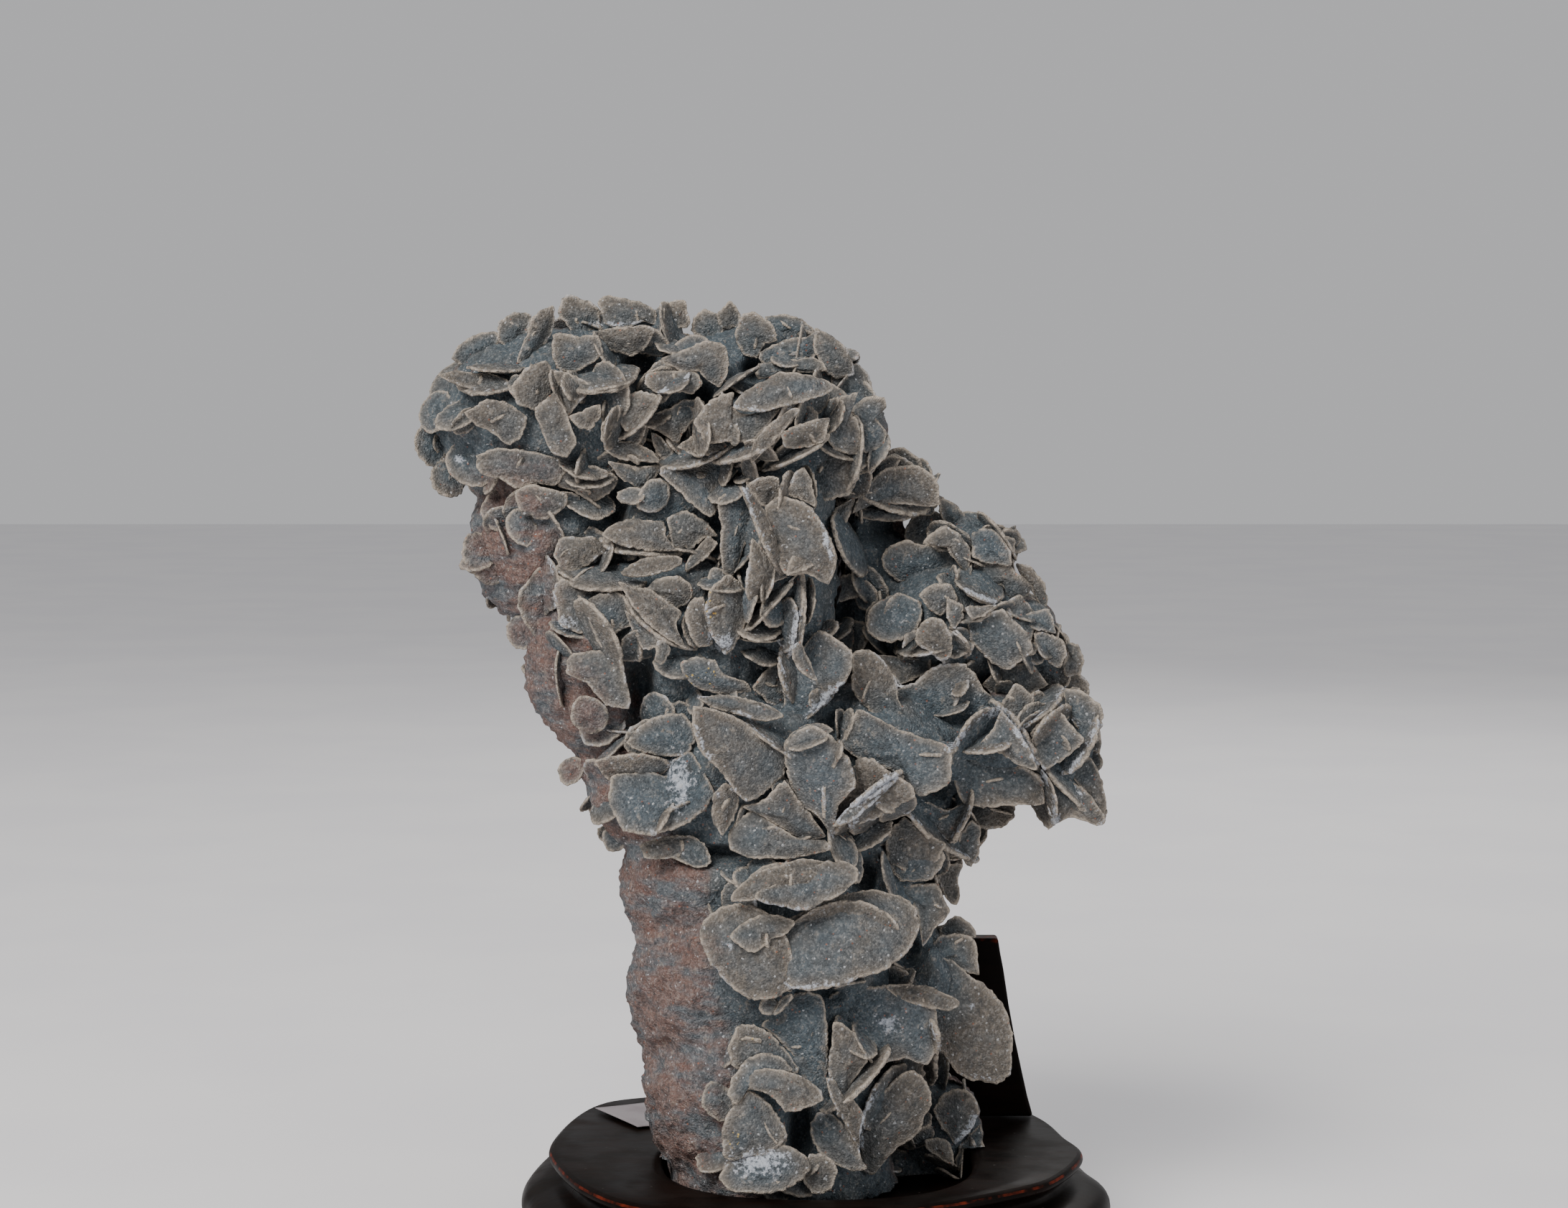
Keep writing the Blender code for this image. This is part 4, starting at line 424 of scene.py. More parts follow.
    (2.0, 0.2, 0.0, 35.3, 1.5, 38.6, -0.3, 38.6, -2.9, 36.8, -5.8, 34.9, -2.9), (3.0, 0.0, -0.1, 27.9, -7.3,
     30.1, -3.6, 32, -2.5, 34.6, -3.6, 36.4, -7, 36, -11.4,
     33.8, -12.5, 31.6, -10.3, 29.8, -9.5),
    (3.8, 0.1, 0.4, 26.1, -6.6, 30.1, -5.1, 33.1, -5.1, 30.9, -7, 27.6, -7.7, 25.3, -9.9), (3.0, -0.15, -0.05,
     39.7, -3.6, 43, -2.5, 47.1, -1.1, 50.4, -4, 53, -7,
     53.9, -10.3, 52.3, -11.4, 48.6, -14.3, 44.9, -12.9, 42.3, -10.3, 40.1, -7.7),
    (3.6, 0.1, 0.2, 39, -1, 40.5, -0.3, 46, -0.3, 43.4, -2.2, 40.5, -3.6), (2.0, 0.1, 0.0, 53.8, -6.2, 57.1,
     -6.2, 60.4, -7.7, 61.1, -10.3, 59.7, -14, 57.1, -12.9, 54.5, -10.3),
    (1.4, 0.2, 0.0, 60.4, -7.7, 63.4, -8.8, 64.8, -11.8, 64.1, -15.4, 61.1, -16, 60, -13.6, 61.1, -10.3),
     (1.3, 0.1, 0.1, 50.4, -3.3, 53.8, -1.4, 57.1, -1.1, 58.9, -6.2,
     56.7, -6.2, 53, -5.1),
    (9.5, 0.2, 0.1, 8.7, 17.8, 12, 21.5, 15.4, 22.9, 14.6, 20, 13.5, 17.4, 11.3, 16.3), (2.0, 0.1, 0.1, 10.2,
     4.5, 14.3, 6.7, 16.9, 2.3, 14.6, 0.8, 11, 0.4),
]

# Thin crystals seen on edge: both ends as across and up, how far the rim stands out, and its lean.
blades = [
    (12.6, -108.2, 22.7, -94.9, 2.6, 24), (17.5, -109, 25.5, -99, 1.8, -30), (-3.5, -113.5, 0.5, -116.5, 1.2,
     30), (17, -96, 19, -98, 1.0, 20),
    (10.5, -91, 17.5, -98, 1.4, 30), (32.5, -96, 31, -103, 2.2, -25), (-8.2, -25, 1, -32.8, 2.4, 18), (-0.8,
     -10, 1, -21.5, 1.8, 22),
    (4.2, 5.5, 1.2, -11.5, 3.0, -24), (5.8, 4.5, 5, -4.5, 2.4, -20), (-9.5, -6.8, -0.5, -6.4, 2.0, 28), (-8.5,
     -11.8, -0.8, -12.2, 1.8, 28),
    (8.2, -37.5, 10.4, -50, 2.0, 20), (1, -31.2, 9, -29.2, 1.6, 26), (14, -48.4, 22.8, -38.2, 2.6, -20),
     (10.8, -49, 23, -37, 3.2, -16),
    (46.2, -22.6, 36.2, -31, 2.8, 30), (46.6, -22, 54.9, -36, 3.0, -26), (38.8, -32.2, 49.5, -29.4, 2.0, 26),
     (51.8, -27, 60.6, -18.2, 2.8, 24),
    (53.8, -30.5, 59, -22.6, 2.4, -24), (58.8, -21.4, 66.6, -30, 3.0, 24), (68.2, -25, 61.6, -36.6, 2.0, -30),
     (55.8, -35.5, 58.6, -47.4, 2.8, -22),
    (57.5, -35.6, 69, -47.2, 3.0, 24), (36, -19.8, 40.2, -17.2, 1.4, 30), (35.4, -24.2, 39.6, -20.8, 1.4, 30),
     (26, -44.6, 41.5, -56, 2.6, 20),
    (40, -42, 35.8, -51.8, 2.4, -20), (31.8, -32.8, 37, -30.6, 1.6, 24), (12.6, -22.6, 11, -28, 2.0, 20),
     (13.8, -22.8, 14, -28.5, 2.0, -20),
    (-38.5, 12.7, -22.6, 11.0, 2.6, 22), (-48.4, 7.0, -36.4, 2.6, 3.2, 28), (-50.5, -3.8, -43.8, -7.2, 2.0,
     30), (-34.2, 0.2, -21.2, -9.7, 2.2, 26),
    (-37, 5.0, -31, -9.2, 1.6, -28), (-42.2, 0.5, -34.8, -14, 2.0, -30), (-50, 10, -49.6, -1, 2.4, -26),
     (-4.8, 4.2, -4.0, 1.0, 1.6, 20),
    (-8.6, -3.5, -6, 0.5, 2.0, 24), (-14, 2.6, -8.8, 4.2, 1.6, 26), (-13.5, 21.5, -8, 25.6, 1.8, 24), (-1.5,
     22, 2.2, 28.8, 2.2, -22), (5.0, 29.6, 6.8, 21, 2.0, -24),
    (-71, 47.0, -59.2, 46.2, 2.6, 26), (-44.5, 45.6, -31.2, 49.6, 3.0, 24), (-39, 35.2, -36, 42.6, 2.0, -22),
     (-35.8, 35.6, -27.2, 43.8, 2.6, 22),
    (-49.6, 50.4, -49.2, 45, 2.0, 20), (-47.8, 49.5, -45.5, 43.5, 2.2, 22), (-44, 32.4, -43.8, 25.2, 2.4, 20),
     (-48, 29.4, -38.4, 27.2, 2.2, 24),
    (-47, 26, -37, 26.6, 1.8, 26), (-31.4, 38.8, -24.6, 39.8, 1.8, 28), (-26.6, 45.5, -20.2, 49.6, 3.2, 22),
     (-25.4, 65.4, -25.4, 55.4, 2.6, 20),
    (-27, 64.4, -27.2, 57.6, 2.0, -22), (4.4, 59.4, 3.0, 56.2, 1.6, 20), (-3, 52.6, 3, 51.8, 1.6, 26), (-8.8,
     29.6, 3.2, 42.8, 3.4, 26), (-5.8, 29.0, 8.8, 35.2, 3.0, 22),
    (-3.4, 31.6, 9.6, 38.4, 2.2, -24), (-26.8, 29.4, -11.6, 33.2, 2.6, 28), (-18.6, 32.4, -16.2, 38.4, 3.0,
     22), (-15.4, 31.2, -6.6, 32.8, 2.2, 28), (16.4, 40.4, 15, 25.6, 2.2, -20),
    (10.2, 37, 12.6, 43.6, 2.0, 24), (8.4, 33.4, 16.4, 31.8, 1.8, 26), (-14, 26, -11, 30, 2.0, 24), (18.6,
     21.6, 32, 21, 3.0, 28), (37.4, 4.6, 46.2, 0.2, 3.0, 26), (33.4, 6, 38.8, -1.2, 2.2, 22),
    (36.4, 7.6, 37.2, 4.2, 1.8, -20), (50.6, -10, 54, -13.4, 2.4, 26), (54.2, -7.4, 57.6, -11.6, 2.2, 24),
     (37.2, -5.6, 39.4, -10.8, 2.4, -22), (15, 8.6, 17.8, -0.2, 2.6, 22),
    (11.6, 13.2, 17.8, 6.4, 2.4, 26), (40, -11.4, 36.8, -6, 1.8, 26), (44, -13, 47, -16.4, 2.0, 22), (24,
     -9.8, 33, -11, 1.6, 28), (49, -16.6, 45.4, -18.8, 1.8, 24),
]

# Hollows pushed into the ground mass between crystals: across, up, radii, depth.
hollows = [
    (-31.5, -19.0, 3.0, 8.0, 12.0), (4.0, -114.0, 2.6, 8.0, 10.0), (12.0, -26.0, 3.5, 4.0, 8.0),
    (32.5, -41.0, 5.5, 3.0, 10.0), (25.0, 16.5, 6.5, 3.2, 9.0), (12.0, 9.0, 3.0, 14.0, 6.0),
    (-36.5, 21.0, 2.6, 5.0, 10.0), (-31.5, 51.5, 3.5, 3.5, 10.0), (-6.5, 51.0, 2.4, 2.6, 9.0),
    (18.0, -59.5, 2.6, 4.0, 8.0), (28.0, -76.0, 3.0, 4.0, 8.0), (8.0, -84.5, 5.0, 3.0, 6.0),
    (-18.5, 45.0, 2.6, 3.0, 8.0), (61.0, -33.0, 2.0, 2.0, 5.0), (-14.0, -54.5, 8.0, 2.0, 8.0),
    (36.0, -101.0, 4.0, 4.0, 7.0),
]

# Pale sugary frost along rims, as strokes: across and up of both ends, radius, strength.
frostStrokes = [
    (-42.0, 60.5, -31.0, 60.5, 1.1, 0.9), (-26.8, 46.0, -20.7, 49.3, 0.9, 1.6), (-44.0, 47.0, -34.0, 49.2,
     1.0, 0.7),
    (-11.8, 43.1, -4.6, 41.5, 0.9, 0.9), (-4.6, 41.5, 9.0, 45.1, 0.8, 0.6), (2.0, 42.8, -7.6, 31.4, 1.1, 0.7),
    (-27.0, 27.9, -13.5, 32.6, 1.2, 0.7), (-8.5, 25.4, -6.4, 18.9, 1.1, 1.0), (-6.4, 18.9, -1.0, 8.2, 1.0, 0.8),
    (4.3, 21.9, 8.5, 17.7, 1.1, 0.8), (8.5, 17.7, 10.0, 10.0, 1.4, 1.0), (-16.7, 1.5, -16.0, -7.5, 1.2, 0.9),
    (-16.0, -7.5, -11.6, -11.7, 1.6, 0.9), (2.7, -2.1, 2.0, -8.7, 1.4, 1.3), (2.0, -8.7, 1.2, -11.1, 1.0, 1.0),
    (-1.2, -8.1, 0.9, -21.2, 0.9, 0.9), (5.3, 3.3, 5.0, -3.3, 0.9, 0.8), (14.6, -11.0, 12.2, -17.6, 0.9, 0.6),
    (12.2, -17.6, 6.2, -22.9, 1.6, 1.2), (6.2, -22.9, -1.5, -28.3, 1.0, 0.8), (45.9, -22.9, 36.0, -30.7, 1.7,
     1.2),
    (36.0, -30.7, 31.9, -32.5, 1.0, 0.8), (47.4, -22.4, 54.5, -34.3, 1.3, 1.0), (39.6, -31.9, 49.2, -29.5,
     0.9, 0.7),
    (60.5, -18.1, 52.1, -26.5, 1.2, 0.9), (58.1, -22.9, 53.6, -30.1, 0.8, 0.7), (59.0, -21.2, 66.5, -28.9,
     1.0, 0.9),
    (68.2, -25.4, 61.7, -36.1, 1.2, 1.0), (55.7, -35.5, 58.7, -47.4, 1.4, 1.1), (58.7, -34.9, 68.2, -46.8,
     1.2, 1.0),
    (-19.1, -26.5, -15.8, -34.9, 1.1, 0.9), (-15.8, -34.9, -8.1, -42.6, 0.9, 0.7), (-8.4, -24.8, 0.9, -32.5,
     1.0, 0.9),
    (-11.6, -22.4, -7.5, -24.2, 1.4, 1.1), (-18.8, -19.7, -13.4, -21.2, 1.2, 0.9), (11.0, -27.7, 15.8, -38.5,
     0.9, 0.6),
    (7.7, -38.5, 10.1, -48.6, 1.0, 0.9), (10.1, -48.6, 12.2, -52.8, 0.9, 0.8), (23.5, -37.3, 12.2, -46.2, 1.7,
     1.3),
    (22.9, -39.7, 14.0, -48.0, 1.3, 1.1), (26.5, -45.0, 35.5, -51.0, 1.0, 0.9), (40.2, -43.8, 36.1, -50.4,
     1.2, 1.0),
    (36.1, -52.2, 41.4, -55.2, 1.1, 0.9), (-6.5, -64.4, 3.3, -66.0, 1.0, 1.0), (3.3, -66.0, 7.4, -65.0, 0.9,
     0.8),
    (-5.0, -57.2, 10.5, -55.4, 0.9, 0.5), (-4.5, -78.9, 1.7, -83.0, 0.8, 0.9), (1.7, -83.0, 14.7, -81.5, 0.8,
     1.0),
    (14.7, -81.0, 18.8, -80.4, 1.0, 0.9), (28.6, -72.2, 24.5, -77.3, 0.8, 0.5), (1.7, -67.5, 15.7, -64.2, 0.8,
     0.5),
    (-17.7, -75.3, -12.2, -82.5, 1.0, 0.8), (-12.2, -82.5, 1.7, -84.5, 0.8, 0.45), (29.1, -86.6, 35.3, -99.0,
     1.1, 0.9),
    (37.9, -101.6, 47.7, -102.6, 0.9, 0.7), (10.0, -96.0, 10.0, -105.2, 0.9, 0.8), (10.0, -105.2, 16.2,
     -117.1, 0.9, 0.8),
    (19.8, -105.2, 17.2, -109.9, 1.2, 1.1), (17.2, -109.9, 16.2, -118.1, 1.1, 1.1), (41.5, -111.0, 37.0,
     -117.0, 1.5, 1.1),
    (42.0, -114.0, 41.0, -120.0, 1.2, 0.9), (39.0, 3.3, 45.6, 0.3, 1.0, 1.3), (56.0, -5.5, 58.0, -13.5, 0.9,
     0.7),
    (50.5, -9.5, 54.5, -13.5, 0.9, 0.7), (-50.5, 11.0, -49.5, -1.0, 1.1, 0.9), (-67.2, 46.3, -60.6, 46.3, 1.0,
     0.6),
    (-42.8, 46.3, -33.2, 49.3, 1.1, 0.8), (-36.8, 42.8, -39.2, 37.4, 0.9, 0.7), (-34.0, -45.5, -27.0, -50.5,
     1.1, 0.8),
    (-27.0, -50.5, -17.0, -47.0, 1.0, 0.6), (-14.5, -39.0, -13.0, -50.0, 0.9, 0.7), (-33.0, 11.5, -22.0, 12.0,
     0.8, 0.5),
    (15.0, -21.0, 31.0, -28.5, 1.1, 0.5), (9.0, -85.0, 18.0, -98.0, 0.9, 0.4), (-41.0, -33.0, -26.0, -33.5,
     0.9, 0.6),
]

# Frost spread over faces: across, up, radii, strength.
frostPatches = [
    (-22.5, -38.5, 3.6, 7.5, 1.15), (-5.0, -120.5, 8.5, 3.6, 1.1), (-13.0, -8.5, 3.2, 2.2, 1.1), (-47.0, -4.5,
     4.0, 2.6, 0.9),
    (23.0, -3.5, 5.5, 5.0, 0.45), (-47.0, 66.0, 3.0, 2.2, 0.5), (-70.2, 31.4, 1.3, 1.1, 1.3), (-9.0, 61.0,
     2.5, 1.6, 0.7),
    (22.4, -90.8, 1.5, 2.2, 1.15), (-12.2, -73.9, 1.0, 1.3, 1.1), (40.8, -92.4, 2.8, 0.8, 0.8), (41.0, -86.4,
     1.1, 0.9, 1.1),
    (25.5, -76.0, 1.1, 0.9, 0.9), (-51.5, 1.0, 3.0, 4.0, 0.5), (67.0, -25.5, 1.6, 2.6, 0.7), (-63.0, 60.0,
     6.0, 3.0, 0.35),
    (-73.0, 48.0, 3.0, 3.0, 0.4), (-76.0, 38.0, 2.5, 5.0, 0.3), (60.0, -38.0, 3.0, 2.0, 0.5), (41.5, -121.0,
     3.0, 4.0, 0.5),
]

# Yellow specks: across, up, radii.
ochrePatches = [(-15.8, -0.3, 1.6, 3.4), (-17.6, -15.6, 4.0, 2.2), (-10.8, -115.5, 1.4, 2.2), (-7.3, -93.6,
     1.0, 1.0)]

# Pinkish brown ground mass: across, up, radii, strength.
pinkPatches = [
    (-27.0, -95.0, 15.0, 38.0, 1.1), (-60.0, 8.0, 13.0, 26.0, 1.0), (-46.0, -28.0, 10.0, 16.0, 1.0),
    (-52.0, 28.0, 11.0, 8.0, 0.55), (-65.0, 45.0, 9.0, 8.0, 0.3), (15.0, -56.0, 4.0, 4.0, 0.4),
    (-46.0, 38.0, 14.0, 10.0, 0.25), (34.0, -118.0, 6.0, 5.0, 0.25), (13.0, 4.0, 4.0, 6.0, 0.4),
]

# Hue of whole crystals, 0 blue-grey to 1 brown, partly the stone's own tint and partly painted shade, since crystals
# lying in shade get blue-grey: across, up, radii, hue.
huePatches = [
    (25.0, -31.0, 13.0, 9.0, 0.15), (19.5, -89.0, 10.0, 8.0, 0.1), (3.0, -91.0, 8.0, 7.0, 0.0), (39.0, -92.0,
     9.0, 12.0, 0.85),
    (-3.5, 16.0, 4.0, 10.0, 0.9), (48.0, -8.0, 8.0, 7.0, 0.25), (-1.0, 41.0, 18.0, 10.0, 0.8), (-52.0, 40.0,
     26.0, 16.0, 0.72),
    (12.0, -73.0, 15.0, 8.0, 0.5), (-25.0, -24.0, 8.0, 7.0, 0.15), (24.0, -3.0, 8.0, 6.0, 0.2), (37.5, -110.0,
     6.0, 6.0, 0.8),
    (11.5, -116.0, 5.0, 5.0, 0.2), (-66.0, 62.0, 10.0, 6.0, 0.15), (-74.0, 36.0, 6.0, 12.0, 0.15), (24.0,
     -111.0, 8.0, 9.0, 0.65),
    (-30.0, 14.0, 10.0, 6.0, 0.6), (60.0, -30.0, 10.0, 14.0, 0.6), (-6.5, -110.0, 7.0, 8.0, 0.4), (28.0, 10.0,
     8.0, 8.0, 0.3),
    (-17.0, 52.0, 8.0, 8.0, 0.5), (2.0, 57.0, 14.0, 6.0, 0.3),
]

stoneLook = {
    "cadSeed": 31, "backCount": 34, "edgeThickness": 1.1, "rimThickness": 0.8, "bulge": 0.17,
    "voxel": 1.05, "setBack": 1.1, "relief": 1.0,
    "frontSpacing": 0.62, "bladeSpacing": 0.6, "fillSpacing": 0.85, "backSpacing": 1.1,
    "fillCount": 360, "backFillCount": 330,
    "freePlates": [
        (12.5, -73.0), (2.5, -60.3), (4.0, -62.6), (39.3, -92.3), (19.5, -89.0), (-8.5, -75.5),
        (-5.0, -71.0), (25.0, -31.0), (3.0, -16.0),
    ], "ragged": 0.17,
}


def unit(vector):
    return vector / np.linalg.norm(vector)


def groundDepth(across, up):
    left = 1 - ((across - ground[:, 0]) / ground[:, 3]) ** 2 - ((up - ground[:, 1]) / ground[:, 4]) ** 2
    if left.max() <= 0:
        return ground[left.argmax(), 2]
    hit = left > 0
    return (ground[hit, 2] - ground[hit, 5] * np.sqrt(left[hit])).min()


def outsideGround(points):
    # How far outside the ground mass each point lies, in millimetres, near enough.
    across, up = seenAt(points)
    nearest = np.full(len(points), 1e3)
    for row in ground:
        offset = np.stack([across - row[0], up - row[1], points[:, 1] - row[2]], axis=1)
        sizes = row[[3, 4, 5]]
        long = np.linalg.norm(offset / sizes, axis=1) + 1e-6
        steep = np.linalg.norm(offset / sizes ** 2, axis=1) + 1e-6
        nearest = np.minimum(nearest, long * (long - 1) / steep)
    return nearest


def insideOutline(across, up, margin):
    return bool((((across - ground[:, 0]) / (ground[:, 3] + margin)) ** 2
                 + ((up - ground[:, 1]) / (ground[:, 4] + margin)) ** 2 < 1).any())


def corners(halfLength, jitter):
    # Start angle and uneven reach of a crystal's corners.
    sides = 5 if halfLength < 4.8 else 6 if halfLength < 11 else 8
    start = jitter.uniform(-0.2, 0.2)
    return start, np.array([1 + jitter.uniform(-0.08, 0.06) for _ in range(sides)])


rightWay = np.array((1.0, 0.0, 0.0))
riseWay = np.array((0.0, pitchSin, pitchCos))
nearWay = np.array((0.0, -pitchCos, pitchSin))


def rooted(across, up, lift, halfWidth, tip):
    # Sinks a crystal until only part of it stands out of the ground mass; the plain front plates stay free.
    if any(math.hypot(across - a, up - u) < 0.6 for a, u in stoneLook["freePlates"]):
        return lift
    return min(lift, 2.6 + 0.6 * lift - halfWidth * abs(math.sin(math.radians(tip))) * 0.85)


def facing(across, up, lift, halfLength, halfWidth, turn, tip, jitter):
    # A crystal given by where and how it is seen.
    middle, scale = spot(across, up, groundDepth(across, up) - rooted(across, up, lift, halfWidth, tip))
    turn = math.radians(turn + jitter.uniform(-2, 2))
    tip = math.radians(tip)
    along = rightWay * math.cos(turn) + riseWay * math.sin(turn)
    cross = riseWay * math.cos(turn) - rightWay * math.sin(turn)
    start, reach = corners(halfLength * scale, jitter)
    return {
        "middle": middle, "along": along, "start": start, "reach": reach,
        "normal": nearWay * math.cos(tip) + cross * math.sin(tip),
        "cross": cross * math.cos(tip) - nearWay * math.sin(tip),
        "halfLength": halfLength * scale, "halfWidth": halfWidth * scale, "seen": (across, up),
    }


def backCrystals(jitter, count):
    # Crystals standing on the back and the sides of the ground mass.
    made = []
    while len(made) < count:
        row = ground[jitter.randrange(len(ground))]
        way = unit(np.array([jitter.gauss(0, 1) for _ in range(3)]))
        place = np.array((row[0] + row[3] * way[0], row[1] + row[4] * way[2], row[2] + row[5] * way[1]))
        others = np.array([other for other in ground if other is not row and not (other == row).all()])
        buried = ((((place - others[:, :3]) / others[:, 3:]) ** 2).sum(axis=1) < 0.9).any()
        onBareSide = place[0] < -14 and place[1] < 0 and way[1] < 0.55
        atBoard = place[0] > 6 and place[1] < -62 and place[2] > 6
        if way[1] < 0.15 or buried or onBareSide or atBoard or place[1] < -112:
            continue
        halfLength = jitter.uniform(6.0, 11.0)
        outward = unit(np.array((way[0] / row[3], way[1] / row[5], way[2] / row[4])))
        flat = unit(np.cross(outward, np.array([jitter.gauss(0, 1) for _ in range(3)])))
        normal = unit(flat + outward * jitter.uniform(-0.6, 1.2))
        along = unit(np.cross(normal, outward))
        cross = np.cross(normal, along)
        middle = spot(*place)[0] + outward * halfLength * 0.12
        start, reach = corners(halfLength, jitter)
        turns = np.arange(len(reach)) / len(reach) * math.tau + start
        rim = (middle + np.outer(halfLength * reach * np.cos(turns), along)
               + np.outer(halfLength * 0.75 * reach * np.sin(turns), cross))
        half = (stoneLook["edgeThickness"] + stoneLook["bulge"] * halfLength * 0.75) / 2
        rim = np.concatenate([rim + normal * half, rim - normal * half])
        if all(insideOutline(a, u, 3) for a, u in zip(*seenAt(rim))):
            made.append({
                "middle": middle, "along": along, "cross": cross, "normal": normal, "start": start,
                "reach": reach, "halfLength": halfLength, "halfWidth": halfLength * 0.75,
                "seen": tuple(map(float, seenAt(middle))),
            })
    return made


def planeDepth(crystal, across, up):
    # Depth of a crystal's middle plane at this place, or None beside its outline.
    along, cross, normal, middle = (crystal[k] for k in ("along", "cross", "normal", "middle"))
    toward = spot(np.float64(across), np.float64(up), 0.0)[0] - eye
    slope = toward @ normal
    if abs(slope) < 0.12 * np.linalg.norm(toward):
        return None
    hit = eye + toward * ((middle - eye) @ normal / slope)
    x, y = (hit - middle) @ along / crystal["halfLength"], (hit - middle) @ cross / crystal["halfWidth"]
    return hit[1] if x * x + y * y < 1.15 else None


def scattered(rng, count, plates, behind):
    # Low plates all over the ground mass, each with one side rooted in it, kept behind the broad faces.
    made = []
    tries = 0
    while len(made) < count and tries < count * 40:
        tries += 1
        row = ground[rng.integers(len(ground))]
        way = unit(rng.normal(size=3))
        if (way[1] > 0.1) != behind:
            continue
        place = np.array((row[0] + row[3] * way[0], row[1] + row[4] * way[2], row[2] + row[5] * way[1]))
        apart = (((place - ground[:, :3]) / ground[:, 3:]) ** 2).sum(axis=1)
        if (apart < 0.93).any() or place[1] < -124:
            continue
        across, up = place[0], place[1]
        if (up < -52 and across < -15 and way[1] < 0.35) or (across < -50 and up < 8 and way[1] < 0.3):
            continue
        if behind and across > 6 and up < -62 and place[2] > 4:
            continue
        if any(((across - h[0]) / (h[2] + 1)) ** 2 + ((up - h[1]) / (h[3] + 1)) ** 2 < 1 for h in hollows):
            continue
        half = rng.uniform(3.4, 8.2) if behind else rng.uniform(3.2, 6.6)
        wide = half * rng.uniform(0.62, 0.9)
        tip = math.radians(rng.uniform(15, 66))
        outward = unit(np.array((way[0] / row[3], way[1] / row[5], way[2] / row[4])))
        flat = unit(np.cross(outward, rng.normal(size=3)))
        along = np.cross(outward, flat)
        normal = outward * math.cos(tip) + flat * math.sin(tip)
        proud = rng.uniform(1.4, 4.2)
        middle = spot(*place)[0] + outward * (proud - wide * math.sin(tip))
        across, up = (float(v) for v in seenAt(middle))
        hidden = False
        for plate in plates:
            if math.hypot(across - plate["seen"][0], up - plate["seen"][1]) < plate["halfLength"]:
                over = planeDepth(plate, across, up)
                if over is not None and middle[1] < over + 2.2:
                    hidden = True
        if hidden or not insideOutline(across, up, 0.5 - half * 0.35):
            continue
        start, reach = corners(half, random.Random(int(rng.integers(1 << 30))))
        made.append({
            "middle": middle, "along": along, "cross": np.cross(normal, along), "normal": normal,
            "start": start, "reach": reach, "halfLength": half, "halfWidth": wide, "seen": (across, up),
        })
    return made


def evened(values, times=1):
    for _ in range(times):
        values = 0.5 * values + 0.25 * (np.roll(values, 1) + np.roll(values, -1))
    return values


def throughFour(a, b, c, d, share):
    # A place between b and c on the smooth curve through all four.
    bend = (2 * a - 5 * b + 4 * c - d) * share * share
    return 0.5 * (2 * b + (c - a) * share + bend + (3 * b - a - 3 * c + d) * share ** 3)


def within(across, up, row):
    # Whether a place lies inside a traced outline.
    a, u = np.array(row[3::2], float), np.array(row[4::2], float)
    nextA, nextU = np.roll(a, -1), np.roll(u, -1)
    spans = (u > up) != (nextU > up)
    return bool((across < a + (up - u) / np.where(spans, nextU - u, 1) * (nextA - a))[spans].sum() % 2)


def leafMiddle(row):
    a, u = np.array(row[3::2], float), np.array(row[4::2], float)
    nextA, nextU = np.roll(a, -1), np.roll(u, -1)
    turn = a * nextU - nextA * u
    return ((a + nextA) * turn).sum() / turn.sum() / 3, ((u + nextU) * turn).sum() / turn.sum() / 3


def leafDepth(row, across, up):
    a, u = leafMiddle(row)
    return groundDepth(a, u) - row[0] + row[1] * (across - a) + row[2] * (up - u)


def leaf(row):
    # A plate traced from its visible outline, leaning as it was seen.
    across, up = leafMiddle(row)
    a, u = np.array(row[3::2], float), np.array(row[4::2], float)
    middle = spot(across, up, leafDepth(row, across, up))[0]
    right = spot(across + 1, up, leafDepth(row, across + 1, up))[0]
    rise = spot(across, up + 1, leafDepth(row, across, up + 1))[0]
    along = unit(right - middle)
    normal = unit(np.cross(along, rise - middle))
    normal = normal if normal @ nearWay > 0 else -normal
    cross = np.cross(normal, along)
    rim = spot(a, u, leafDepth(row, a, u))[0] - middle
    flat = np.stack([rim @ along, rim @ cross], axis=1)
    before, after, later = np.roll(flat, 1, axis=0), np.roll(flat, -1, axis=0), np.roll(flat, -2, axis=0)
    share = np.arange(6)[:, None, None] / 6
    curve = 0.4 * throughFour(before, flat, after, later, share) + 0.6 * (flat + (after - flat) * share)
    curve = curve.transpose(1, 0, 2).reshape(-1, 2)
    area = (curve[:, 0] * np.roll(curve[:, 1], -1) - np.roll(curve[:, 0], -1) * curve[:, 1]).sum() / 2
    half = math.sqrt(abs(area) / math.pi) * 1.05
    return {
        "middle": middle, "along": along, "cross": cross, "normal": normal, "start": 0.0, "reach": np.ones(6),
        "halfLength": half, "halfWidth": half, "outline": curve if area > 0 else curve[::-1],
        "seen": (float(across), float(up)),
    }


def surfaceDepth(across, up):
    over = [leafDepth(row, across, up) for row in leafPlates if within(across, up, row)]
    return min([groundDepth(across, up), *over])


